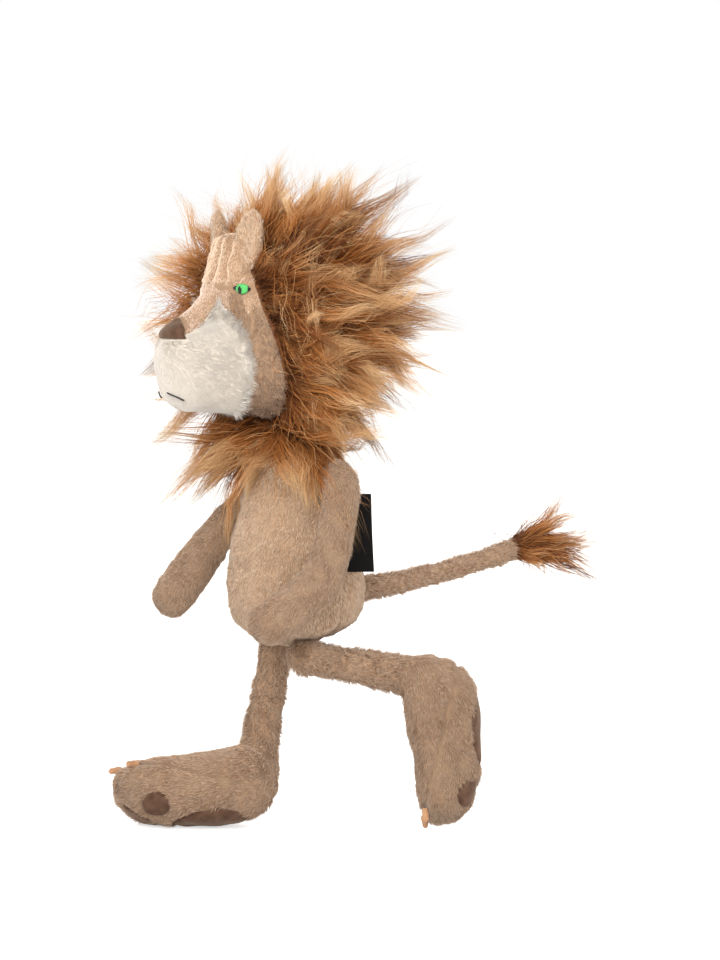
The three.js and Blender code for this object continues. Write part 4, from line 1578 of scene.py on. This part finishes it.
@dataclass
class Head:
    """Head: tan face, white muzzle, nose, eyes, ears and the mane hood. Millimetres."""

    finishes: Finishes
    chin_z: float = 254.0
    skull_height: float = 104.0
    skull_depth: float = 80.0
    skull_width: float = 73.0
    skull_x: float = -22.0
    skull_cap: float = 29.0
    width_shares: Shares = (0.8, 0.96, 1.0, 1.0, 0.99, 0.95, 0.88)
    depth_shares: Shares = (0.8, 0.95, 1.0, 1.0, 0.98, 0.94, 0.86)
    muzzle_x: tuple[float, float] = (-91.0, -38.0)
    muzzle_middle_x: float = -64.5
    muzzle_size: tuple[float, float] = (54.0, 57.0)
    muzzle_z: float = 282.5
    muzzle_wide_shares: Shares = (0.72, 0.93, 1.0, 0.98)
    muzzle_tall_shares: Shares = (0.86, 0.9, 1.0, 1.1)
    muzzle_outline: tuple[tuple[float, float], ...] = (
        (-0.4, -0.3), (-0.4, 0.84), (0.2, 0.88), (0.44, 0.98), (0.62, 1.2),
        (0.72, 1.04), (0.8, 0.92), (0.87, 0.6), (0.88, 0.35), (0.86, -0.3),
    )
    bridge_path: tuple[Place, ...] = ((-79.0, 0.0, 300.0), (-63.0, 0.0, 312.0), (-47.0, 0.0, 324.0))
    bridge_radius: float = 11.0
    bridge_shares: Shares = (0.84, 0.95, 1.1)
    brow_path: tuple[Place, ...] = ((-47.0, 0.0, 326.0), (-43.0, 0.0, 345.0), (-38.0, 0.0, 362.0))
    brow_wide: Shares = (22.0, 24.0, 23.0)
    brow_deep: Shares = (11.0, 13.0, 12.0)
    # middle and depth of each fold that runs up the forehead
    brow_folds: tuple[tuple[float, float], ...] = ((-13.0, 1.6), (-4.0, 1.9), (6.0, 1.6), (15.0, 1.9))
    brow_fold_z: float = 330.0
    brow_fold_width: float = 1.8
    temple_y: float = 24.5
    temple_z: float = 306.0
    temple_fold: tuple[float, float] = (2.2, 1.7)
    lid_folds_x: tuple[float, ...] = (-48.0, -43.5)
    lid_z: tuple[float, float] = (300.0, 328.0)
    lid_fold: tuple[float, float] = (1.1, 1.2)
    fold_drift: float = 1.3
    folds_back_x: float = -36.0
    cheek_top_z: float = 322.0
    bridge_back_x: float = -55.0
    bridge_top_z: float = 335.0
    seam_z: Shares = (254.0, 278.0, 296.0, 308.0, 320.0, 332.0, 344.0, 354.0, 364.0, 374.0)
    seam_x: Shares = (-20.0, -26.0, -30.5, -34.5, -39.0, -42.0, -42.5, -37.5, -31.0, -28.0)
    nose_pivot: tuple[float, float] = (-77.0, 302.0)
    nose_wide: tuple[float, float] = (17.0, 11.0)
    nose_turns: tuple[float, float] = (0.0, 87.0)
    nose_raised: float = 2.2
    nose_thick: float = 0.9
    nose_room: tuple[float, float] = (16.5, 1.5)
    eye_place: Place = (-49.6, 25.4, 331.0)
    eye_facing: Place = (-0.7, 0.7, 0.05)
    eye_room: tuple[float, float] = (5.2, 2.6)
    eye_back_x: float = -40.0
    # half width, half height and lift of the eye's corners, its green and its pupil
    corners_size: Place = (5.4, 1.3, 1.7)
    green_size: Place = (4.5, 2.5, 2.2)
    pupil_size: Place = (1.2, 1.9, 2.6)
    pupil_shift: Place = (0.9, -0.9, -0.5)
    ear_place: Place = (-43.5, 22.0, 356.5)
    ear_size: Place = (11.0, 18.0, 38.0)
    ear_room: tuple[float, float] = (10.0, 9.0)
    ear_foot_z: float = 340.0
    ear_cup_share: float = 0.35
    ear_spread_deg: float = 12.0
    ear_turn_deg: float = 20.0
    mouth_path: tuple[Place, ...] = ((-88.0, -6.5, 270.8), (-87.0, -11.5, 269.2), (-84.0, -16.5, 266.8))
    mouth_facing: Place = (-0.9, -0.4, -0.1)
    mouth_radius: float = 0.5
    mouth_lift: float = 1.7
    lump: float = 0.45
    skin_voxel: float = 1.5
    cloth_thick: float = 1.2
    hood_lift: float = 4.0
    hood_voxel: float = 2.0
    hood_press: float = 3.2
    hair_length: float = 62.0
    hair_per_mm2: float = 1.4
    wisp_length_share: float = 1.2
    wisp_share: float = 0.045
    wisp_z: float = 285.0
    rim_length: float = 30.0
    rim_per_mm2: float = 1.6
    rim_x: tuple[float, float] = (-0.8, 4.0)

    def skull(self, grow: float = 0.0) -> StuffedForm:
        """Gives the skull's stuffed form.

        Args:
            grow: how far it is swollen.

        Returns:
            The form.
        """
        path = [(self.skull_x, 0.0, self.chin_z + self.skull_height * s) for s in (0, 0.5, 1)]
        side = [half + grow for half in scaled(self.skull_width / 2, self.width_shares)]
        deep = [half + grow for half in scaled(self.skull_depth / 2, self.depth_shares)]
        return StuffedForm(path, side, (self.skull_cap, self.skull_cap), deep, rows=48, sides=56)

    def face_forms(self) -> list[StuffedForm]:
        """Gives the snout, the bridge of the nose and the brow between the ears.

        Returns:
            The three forms.
        """
        wide, tall = self.muzzle_size
        steps = zip((self.muzzle_x[0], self.muzzle_middle_x, self.muzzle_x[1]), (0, 2.5, 5))
        snout = StuffedForm(
            [(x, 0.0, self.muzzle_z + rise) for x, rise in steps],
            scaled(wide / 2, self.muzzle_wide_shares),
            (15, 10),
            scaled(tall / 2, self.muzzle_tall_shares),
            squareness=2.5,
            rows=40,
            sides=48,
        )
        ridge = scaled(self.bridge_radius, self.bridge_shares)
        bridge = StuffedForm(self.bridge_path, ridge, (11, 11))
        brow = StuffedForm(self.brow_path, self.brow_wide, (8, 8), self.brow_deep)
        return [snout, bridge, brow]

    def behind_seam(self, points: Points) -> np.ndarray:
        """Says how far points lie behind the seam of the mane, in millimetres."""
        x, _, z = own(points).T
        return x - np.interp(z, self.seam_z, self.seam_x)

    def muzzle_line(self) -> Points:
        """Gives the outline of the white muzzle seen from the side.

        Returns:
            X and Z of each point, in millimetres.
        """
        run = self.muzzle_x[1] - self.muzzle_x[0]
        base = self.muzzle_z - self.muzzle_size[1] / 2
        return np.array(self.muzzle_outline) * (run, self.muzzle_size[1]) + (self.muzzle_x[0], base)

    def in_muzzle(self, points: Points) -> np.ndarray:
        """Says which points lie on the white muzzle.

        Args:
            points: places in metres.

        Returns:
            True or False a point.
        """
        x, _, z = own(points).T
        outline = self.muzzle_line()
        inside = np.zeros(len(points), bool)
        for (x1, z1), (x2, z2) in zip(outline, np.roll(outline, -1, axis=0)):
            edge = x1 + (z - z1) / (z2 - z1 + 1e-12) * (x2 - x1)
            inside ^= ((z1 > z) != (z2 > z)) & (x < edge)
        return inside

    def muzzle_gap(self, points: Points) -> np.ndarray:
        """Says how far points are from the edge of the white muzzle, seen from the side.

        Args:
            points: places in metres.

        Returns:
            Millimetres.
        """
        at = own(points)[:, (0, 2)]
        outline = self.muzzle_line()
        gaps = []
        for first, last in zip(outline, outline[1:]):
            way = last - first
            share = np.clip(((at - first) @ way) / (way @ way), 0, 1)
            gaps.append(np.linalg.norm(at - first - share[:, None] * way, axis=1))
        return np.min(gaps, axis=0)

    def creases(self, points: Points) -> np.ndarray:
        """Says how deep the fine folds of the forehead and under the eyes run.

        Args:
            points: places in metres.

        Returns:
            Millimetres in at each point.
        """
        x, y, z = own(points).T
        drift = self.fold_drift * waves(260, 22, points)
        ahead = ramp(x, self.folds_back_x, -6)
        brow = ramp(z, self.brow_fold_z, 8) * ahead
        depth = np.zeros(len(points))
        for place, deep in self.brow_folds:
            depth += brow * deep * groove(y - place + drift, self.brow_fold_width)
        deep, wide = self.temple_fold
        depth += ramp(z, self.temple_z, 8) * ahead * deep * groove(np.abs(y) - self.temple_y + drift, wide)
        deep, wide = self.lid_fold
        under = ramp(z, self.lid_z[0], 6) * ramp(z, self.lid_z[1], -4)
        for place in self.lid_folds_x:
            depth += under * deep * groove(x - place + drift, wide)
        return depth

    def build(self) -> None:
        """Builds the whole head."""
        whole = fuse(stuffed_mesh("head_whole", (self.skull(), *self.face_forms())), self.skin_voxel, 4)
        places = places_of(whole)
        push(whole, lumps(places, 200, self.lump) - self.creases(places))
        face = self.region(whole, "face_cloth", lambda p: ~self.in_muzzle(p) & (self.behind_seam(p) < 3), 3)
        muzzle = self.region(whole, "muzzle_cloth", self.in_muzzle, 3)
        nodes = ("face_cover", "head_stuffing")
        add_piece(face, self.finishes.plush, "head", "face_plush", *nodes, fill=STUFFED)
        add_piece(muzzle, self.finishes.white, "head", "white_plush", "muzzle_cover", fill=STUFFED)
        self.build_pile(whole)
        tree = tree_of(whole)
        self.build_nose(tree)
        for side in Side:
            self.build_eye(side, tree)
            self.build_ear(side)
        self.build_mouth(tree)
        self.build_mane()

    def build_pile(self, whole: Mesh) -> None:
        """Grows the pile of the face and the muzzle.

        Args:
            whole: the head's skin.
        """
        finishes = self.finishes
        flat = {"stroked": True}
        for name, pile, way, hair, slot, keep in (
            (
                "face_pile",
                ShortPile(2.3, 0.23, 3.2, 0.24, unrest=0.1, seed=210, **flat),
                (0.45, 0.0, -0.8),
                finishes.face_hair,
                "face_plush",
                lambda p: self.on_face(p) & ~self.on_bridge(p) & ~self.on_cheek(p),
            ),
            (
                "cheek_pile",
                ShortPile(3.2, 0.21, 2.2, 0.5, unrest=0.3, tuft_mm=5, seed=212),
                (0.45, 0.0, -0.8),
                finishes.plush_hair,
                "face_plush",
                lambda p: self.on_face(p) & ~self.on_bridge(p) & self.on_cheek(p),
            ),
            (
                "bridge_pile",
                ShortPile(1.7, 0.22, 3.0, 0.2, unrest=0.07, mottle=0.06, seed=215, **flat),
                (0.5, 0.0, 0.8),
                finishes.bridge_hair,
                "face_plush",
                lambda p: self.on_face(p) & self.on_bridge(p),
            ),
            (
                "muzzle_pile",
                ShortPile(3.2, 0.26, 3.2, 0.14, unrest=0.05, mottle=0.05, seed=220, **flat),
                (0.8, 0.0, -0.35),
                finishes.white_hair,
                "white_plush",
                lambda p: self.in_muzzle(p) & self.off_details(p),
            ),
            (
                "muzzle_fringe",
                ShortPile(6.0, 0.23, 1.8, 0.45, lay=0.7, unrest=0.4, seed=225, **flat),
                (0.75, 0.0, 0.35),
                finishes.white_hair,
                "white_plush",
                lambda p: self.in_muzzle(p) & self.off_details(p, 5.0) & (self.muzzle_gap(p) < 4.5),
            ),
        ):
            pile.plant(name, whole, drawn_to(*way), hair, "head", slot, keep)

    def on_face(self, points: Points) -> np.ndarray:
        """Says which points carry the tan face pile."""
        return ~self.in_muzzle(points) & (self.behind_seam(points) < 2) & self.off_details(points)

    def on_cheek(self, points: Points) -> np.ndarray:
        """Says which points lie on the fluffier cheeks under the eyes."""
        return own(points)[:, 2] + 5 * waves(215, 16, points) < self.cheek_top_z

    def on_bridge(self, points: Points) -> np.ndarray:
        """Says which points lie on the smooth bridge of the nose."""
        x, _, z = own(points).T
        return (x < self.bridge_back_x) & (z < self.bridge_top_z)

    def off_details(self, points: Points, room: float = 0.0) -> np.ndarray:
        """Keeps pile off the nose and the eyes.

        Args:
            points: places in metres.
            room: further millimetres that are kept free round the nose.

        Returns:
            True where pile may grow.
        """
        x, y, z = own(points).T
        nose_x, nose_z = self.nose_pivot
        beside, below = self.nose_room
        wide = beside + room - 0.7 * (z - nose_z)
        nose = (x < nose_x + room) & (np.abs(y) < wide) & (z > nose_z - below - room)
        eye_x, eye_y, eye_z = self.eye_place
        across = (x - eye_x) - (np.abs(y) - eye_y)
        wide, tall = self.eye_room
        off_eye = (across / 1.41 / wide) ** 2 + ((z - eye_z) / tall) ** 2 > 1
        return ~nose & (off_eye | (x > self.eye_back_x))

    def region(self, whole: Mesh, name: str, inside: Field, hem: float) -> Mesh:
        """Cuts one panel out of the head's skin and gives it a thickness.

        Args:
            whole: the head's skin.
            name: the panel's name.
            inside: says which places belong to it.
            hem: how many millimetres behind the seam of the mane its edge runs there.

        Returns:
            The panel.
        """
        bm = bmesh.new()
        bm.from_mesh(whole)
        chosen = inside(np.array([face.calc_center_median() for face in bm.faces]))
        drop = [face for face, kept in zip(bm.faces, chosen) if not kept]
        bmesh.ops.delete(bm, geom=drop, context="FACES")
        edge = [vert for vert in bm.verts if vert.is_boundary]
        past = self.behind_seam(np.array([vert.co for vert in edge])) - hem
        for vert, off in zip(edge, past):
            vert.co.x -= off * MM if abs(off) < 2 else 0
        bmesh.ops.solidify(bm, geom=bm.faces[:], thickness=self.cloth_thick * MM)
        return mesh_from(name, bm)

    def build_nose(self, tree: BVHTree) -> None:
        """Lays the velour nose over the front of the snout, straight below and arched above.

        Args:
            tree: the head's skin.
        """

        def lay(a: float, b: float) -> Vector:
            """Drops one place of the nose on the snout.

            Args:
                a: place across, -1 to 1.
                b: place up, -1 to 1.

            Returns:
                The place in the frame.
            """
            share = (b + 1) / 2 * math.sqrt(1 - 0.55 * a * a)
            turn = math.radians(between(self.nose_turns, share))
            x, z = self.nose_pivot
            y = a * between(self.nose_wide, share)
            pivot, out = (Vector(p) for p in lion((x, y, z), (x - math.cos(turn), y, z + math.sin(turn))))
            out = (out - pivot).normalized()
            hit, normal, _, _ = tree.ray_cast(pivot + out * 30 * MM, -out)
            raised = self.nose_raised * (0.5 + 0.5 * swell(min(1 - abs(a), 1 - abs(b)), 4))
            return (hit or pivot) + (normal or out) * raised * MM

        mesh = drape("nose_velour", (22, 22), lay, self.nose_thick)
        add_piece(mesh, self.finishes.velour, "head", "brown_velour", "nose")

    def build_eye(self, side: Side, tree: BVHTree) -> None:
        """Lays one stitched eye on the face.

        Args:
            side: which eye.
            tree: the head's skin.
        """
        x, y, z = self.eye_place
        middle = lion((x, side.value * y, z))[0]
        inner = middle + np.array(self.pupil_shift) * (1, side.value, 1) * MM
        facing = tuple(np.array(self.eye_facing) * (1, side.value, 1))
        eye, black = (self.finishes.eye, "eye_thread"), (self.finishes.black, "black_ribbon")
        for word, place, size, (thread, slot), nodes in (
            ("corners", middle, self.corners_size, black, ()),
            ("stitches", middle, self.green_size, eye, (f"eye_{side.word}",)),
            ("pupil", inner, self.pupil_size, black, ()),
        ):
            mesh = Patch(place, facing, *size).build(f"eye_{side.word}_{word}", tree)
            add_piece(mesh, thread, "head", slot, *nodes)

    def build_ear(self, side: Side) -> None:
        """Builds one upright cupped ear with its pile.

        Args:
            side: which ear.
        """
        name = f"ear_{side.word}"
        thick, wide, tall = self.ear_size
        x, y, z = self.ear_place
        bm = bmesh.new()
        bmesh.ops.create_uvsphere(bm, u_segments=28, v_segments=20, radius=1)
        for vert in bm.verts:
            cup = max(0.0, 1 - (vert.co.y**2 + vert.co.z**2) * 1.3) if vert.co.x < 0 else 0
            vert.co.x = vert.co.x * thick / 2 + cup * self.ear_cup_share * thick
            vert.co.y *= wide / 2
            vert.co.z *= tall / 2
        spread, turn = (math.radians(-side.value * a) for a in (self.ear_spread_deg, self.ear_turn_deg))
        place = Matrix.Translation(Vector(lion((x, side.value * y, z))[0]))
        turned = place @ Euler((spread, 0, turn), "XYZ").to_matrix().to_4x4() @ Matrix.Scale(MM, 4)
        bmesh.ops.transform(bm, matrix=turned, verts=bm.verts)
        mesh = mesh_from(f"{name}_cloth", bm)
        add_piece(mesh, self.finishes.plush, "head", "tan_plush", name, fill=0.3)
        pile = ShortPile(3.0, per_mm2=2.6, lift=0.4, unrest=0.25, tuft_mm=6, seed=240 + side.value)
        pile.plant(f"{name}_pile", mesh, drawn_to(0.1, 0, 1), self.finishes.chest_hair, "head", "tan_plush")

    def build_mouth(self, tree: BVHTree) -> None:
        """Sews the short black line of the mouth on the muzzle.

        Args:
            tree: the head's skin.
        """
        line = smooth_path(lion(*self.mouth_path), 8)
        facing = unit(np.array([self.mouth_facing]))[0]
        last = len(line) - 1
        for side in Side:
            points, away = (rows * (1, -side.value, 1) for rows in (line, facing))
            bm = bmesh.new()
            rings = []
            for i, point in enumerate(points):
                hit, normal, _, _ = tree.ray_cast(Vector(point + away * 20 * MM), Vector(-away))
                centre = (hit or Vector(point)) + (normal or Vector(away)) * self.mouth_lift * MM
                made = bmesh.ops.create_circle(
                    bm, cap_ends=i in (0, last), segments=8, radius=self.mouth_radius * MM
                )
                forward = Vector(points[min(i + 1, last)] - points[max(i - 1, 0)]).normalized()
                spin = forward.to_track_quat("Z", "Y").to_matrix().to_4x4()
                bmesh.ops.transform(bm, matrix=Matrix.Translation(centre) @ spin, verts=made["verts"])
                rings.append(made["verts"])
            for pair in zip(rings, rings[1:]):
                edges = {e for ring in pair for v in ring for e in v.link_edges if e.other_vert(v) in ring}
                bmesh.ops.bridge_loops(bm, edges=list(edges))
            mesh = mesh_from(f"mouth_{side.word}_thread", bm)
            add_piece(mesh, self.finishes.black, "head", "black_ribbon")

    def build_mane(self) -> None:
        """Builds the hood's brown backing and grows the mane on it."""
        whole = fuse(stuffed_mesh("mane_whole", [self.skull(self.hood_lift)]), self.hood_voxel, 2)
        # the hood's rim is sewn down to the face
        push(whole, -self.hood_press * (1 - ramp(self.behind_seam(places_of(whole)), -1, 5)))
        for side in Side:
            panel = self.region(
                whole,
                f"mane_{side.word}_backing",
                lambda p: (self.behind_seam(p) > -1) & (p[:, 1] * side.value > -1e-4),
                -1,
            )
            add_piece(panel, self.finishes.mane, "head", "long_pile", f"mane_{side.word}")
        rng = np.random.default_rng(300)
        roots, normals = scatter(whole, self.hair_per_mm2, rng)
        grown = self.grows_mane(roots)
        roots, normals = roots[grown], normals[grown]
        few = (rng.uniform(size=len(roots)) < self.wisp_share) & (own(roots)[:, 2] > self.wisp_z)
        rim, at = scatter(whole, self.rim_per_mm2, rng)
        near = self.grows_mane(rim, self.rim_x[0]) & (self.behind_seam(rim) < self.rim_x[1])
        long, wisp = self.hair_length, self.hair_length * self.wisp_length_share
        for name, hair, planted, way, share in (
            (
                "mane_hair",
                LongHair(long, 430, 301, 0.22, spread=0.28, curl_mm=8.0, gather=0.95, stray=0.08),
                (roots, normals),
                self.mane_way,
                self.mane_length,
            ),
            (
                "mane_wisps",
                LongHair(wisp, 130, 302, 0.16, spread=0.6, curl_mm=11.0, gather=0.7, stray=0.35),
                (roots[few], normals[few]),
                self.mane_way,
                self.mane_length,
            ),
            (
                "mane_rim_hair",
                LongHair(self.rim_length, 150, 303, 0.2, 0.25),
                (rim[near], at[near]),
                self.rim_way,
                None,
            ),
        ):
            hair.plant(name, planted, way, self.finishes.mane_hair, "head", share, self.paler)

    def grows_mane(self, points: Points, least: float = 0.0) -> np.ndarray:
        """Says where mane grows: behind the seam and clear of the ears.

        Args:
            points: places on the hood.
            least: how many millimetres behind the seam it begins.

        Returns:
            True where it grows.
        """
        x, y, z = own(points).T
        aside, behind = self.ear_room
        beside = np.abs(np.abs(y) - self.ear_place[1]) < aside
        ear = beside & (x < self.ear_place[0] + behind) & (z > self.ear_foot_z)
        return (self.behind_seam(points) > least) & (z > self.chin_z - 2) & ~ear

    def rim_way(self, points: Points, normals: Points) -> Points:
        """Says how the short hair along the seam is combed: flat and back, and up over the brow."""
        high = ramp(own(points)[:, 2], 320, 30)[:, None]
        return unit(normals * 0.45 + np.array((0.8, 0.0, -0.1)) + high * np.array((-0.3, 0.0, 0.7)))

    def mane_way(self, points: Points, normals: Points) -> Points:
        """Says how the mane is combed: out all round, swept back on the left and forward on the right.

        Args:
            points: the roots.
            normals: the skin's normals there.

        Returns:
            The way of each strand.
        """
        behind = ramp(self.behind_seam(points), 0, 45)[:, None]
        at = own(points)
        middle = self.chin_z + self.skull_height * 0.5
        radial = unit(np.stack([at[:, 0] * 0, at[:, 1], at[:, 2] - middle], 1))
        near = 1 / (1 + np.exp(at[:, 1:2] / 8))  # 1 on the left side
        high = ramp(at[:, 2:], 340, 12)
        ahead = (-1.1 + 1.7 * behind) * (1 - high) + 0.3 * high
        sweep = near * (0.8 - 0.3 * behind) + (1 - near) * ahead
        off = 0.3 * near + 0.55 * (1 - near)
        lift = np.array((0.0, 0.0, 0.12))
        return unit(normals * off + radial * 0.5 + sweep * np.array((1.0, 0.0, 0.0)) + lift)

    def paler(self, points: Points) -> np.ndarray:
        """Says how much paler the mane is high up and on the right side, where light comes through."""
        _, y, z = own(points).T
        return np.maximum(0.24 * ramp(z, 335, 25), 0.36 * ramp(y, 0, 10)) - 0.04

    def mane_length(self, points: Points) -> np.ndarray:
        """Says how long the mane is at each root, as a share.

        Args:
            points: the roots.

        Returns:
            One share a root.
        """
        x, _, z = own(points).T
        high = ramp(z, self.chin_z, self.skull_height)
        behind = ramp(self.behind_seam(points), 0, 30)
        nape = ramp(z, 300, -20) * ramp(x, 0, 15)
        low = ramp(z, 296, -14) * ramp(x, -12, 10)
        return (0.82 + 0.18 * behind) * (1.0 - 0.12 * high) * (1 - 0.3 * nape) * (1 - 0.45 * low)


@dataclass
class Neck:
    """Short stuffed neck and the ruff of long hair round it. Millimetres."""

    finishes: Finishes
    x: float = -2.5
    stem: float = 12.0
    ball: float = 15.0
    stem_z: tuple[float, float, float] = (229.0, 240.0, 264.0)
    collar_wide: Shares = (16.0, 21.0, 26.0)
    collar_back: Shares = (0.0, 1.0, 3.0)
    collar_z: tuple[float, float, float] = (251.0, 243.0, 235.0)
    hair_length: float = 56.0
    hair_per_mm2: float = 1.6

    def build(self) -> None:
        """Builds the neck and the ruff."""
        wide = [self.stem, self.stem, self.ball, self.ball]
        stem = StuffedForm([(self.x, 0, z) for z in self.stem_z], wide, (4, 13))
        mesh = stuffed_mesh("neck_cloth", [stem])
        add_piece(mesh, self.finishes.mane, "neck", "tan_plush", "neck_stem", fill=STUFFED)
        path = [(self.x - back, 0, z) for back, z in zip(self.collar_back, self.collar_z)]
        collar = StuffedForm(path, self.collar_wide, (6, 4))
        mesh = stuffed_mesh("ruff_backing", [collar])
        add_piece(mesh, self.finishes.mane, "neck", "long_pile", "neck_ruff")
        roots, normals = scatter(mesh, self.hair_per_mm2, np.random.default_rng(401))
        kept = normals[:, 2] > -0.55

        def guide(points: Points, normals: Points) -> Points:
            """Lets the ruff fall outward over the chest and shoulders."""
            return unit(normals * (1, 1, 0.2)) * 0.62 + np.array((-0.12, 0.0, -0.78))

        LongHair(self.hair_length, 80, 402, spread=0.28, curl_mm=4.5).plant(
            "ruff_hair",
            (roots[kept], normals[kept]),
            guide,
            self.finishes.mane_hair,
            "neck",
            self.hair_share,
        )

    def hair_share(self, points: Points) -> np.ndarray:
        """Says how long the ruff is at each root: long over the chest, short behind.

        Args:
            points: the roots.

        Returns:
            One share a root.
        """
        x, y, _ = own(points).T
        ahead = (self.x - x) / np.maximum(np.hypot(x - self.x, y), 1e-6)
        return 1.0 - 0.85 * np.clip(0.15 - ahead, 0, 0.8)


@dataclass
class Studio:
    """White studio: pale floor, soft light and the photograph's camera. Metres."""

    aim_mm: Place = (32.2, -16.3, 214.9)
    azimuth: float = -27.0
    elevation: float = 5.5
    distance: float = 1.6
    lens: float = 100.0
    sensor: float = 36.0
    floor_size: float = 20.0
    sky: float = 0.74
    # name, place, edge and watts of each soft square lamp
    lamps: tuple[tuple[str, Place, float, float], ...] = (
        ("key_lamp", (-1.3, -1.5, 1.05), 1.2, 46.0),
        ("fill_lamp", (1.5, -1.0, 0.9), 1.6, 16.0),
        ("back_lamp", (0.6, 1.6, 1.5), 1.2, 18.0),
    )

    @property
    def aim(self) -> Vector:
        """The point of the frame that the camera looks at."""
        return Vector(lion(self.aim_mm)[0])

    def build(self) -> None:
        """Builds the camera, the floor, the world and the lamps."""
        self.build_camera()
        self.build_floor()
        self.build_world()
        for lamp in self.lamps:
            self.add_lamp(*lamp)

    def build_camera(self) -> None:
        """Places the camera at the photograph's angle."""
        a, e = math.radians(self.azimuth), math.radians(self.elevation)
        back = Vector((math.sin(a) * math.cos(e), -math.cos(a) * math.cos(e), math.sin(e)))
        data = bpy.data.cameras.new("camera")
        data.lens = self.lens
        data.sensor_width = self.sensor
        camera = add_object("camera", data)
        lean = Matrix(LEAN.tolist())
        camera.location = self.aim + lean @ back * self.distance
        camera.rotation_mode = "QUATERNION"
        camera.rotation_quaternion = (lean @ (-back).to_track_quat("-Z", "Y").to_matrix()).to_quaternion()
        bpy.context.scene.camera = camera

    def build_floor(self) -> None:
        """Lays the pale floor."""
        bm = bmesh.new()
        bmesh.ops.create_grid(bm, x_segments=1, y_segments=1, size=self.floor_size)
        floor = add_object("floor", mesh_from("floor", bm))
        floor.data.materials.append(Paper("white_paper", "F4F4F4", 0.6).material())

    def build_world(self) -> None:
        """Sets an even pale sky that the camera sees as white."""
        world = bpy.data.worlds.new("studio")
        bpy.context.scene.world = world
        world.use_nodes = True
        tree = world.node_tree
        tree.nodes.clear()
        rays = add_node(tree, "ShaderNodeLightPath").outputs
        direct = {0: rays["Is Camera Ray"], 1: rays["Is Glossy Ray"]}
        white = add_node(tree, "ShaderNodeMath", direct, operation="MAXIMUM").outputs[0]
        sky, shown = (
            add_node(tree, "ShaderNodeBackground", {"Color": linear(colour), "Strength": power}).outputs[0]
            for colour, power in (("FAF8F4", self.sky), (WHITE, 1.0))
        )
        mix = add_node(tree, "ShaderNodeMixShader", {0: white, 1: sky, 2: shown}).outputs[0]
        add_node(tree, "ShaderNodeOutputWorld", {"Surface": mix})

    def add_lamp(self, name: str, place: Place, size: float, power: float) -> None:
        """Adds a soft square lamp that looks at the toy.

        Args:
            name: the lamp's name.
            place: where it hangs.
            size: its edge.
            power: watts.
        """
        data = bpy.data.lights.new(name, "AREA")
        data.size = size
        data.energy = power
        data.color = (1.0, 0.975, 0.94)
        lamp = add_object(name, data)
        lamp.location = place
        lamp.rotation_mode = "QUATERNION"
        lamp.rotation_quaternion = (self.aim - lamp.location).to_track_quat("-Z", "Y")


def main() -> None:
    """Builds every part in order."""
    logging.basicConfig(level=logging.INFO, format="%(message)s")
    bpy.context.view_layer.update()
    bpy.context.scene.view_settings.view_transform = "Standard"
    finishes = Finishes()
    for part in (Studio(), *(kind(finishes) for kind in (Torso, Neck, Arms, LegsAndFeet, Tail, Head))):
        part.build()


if __name__ == "__main__":
    main()
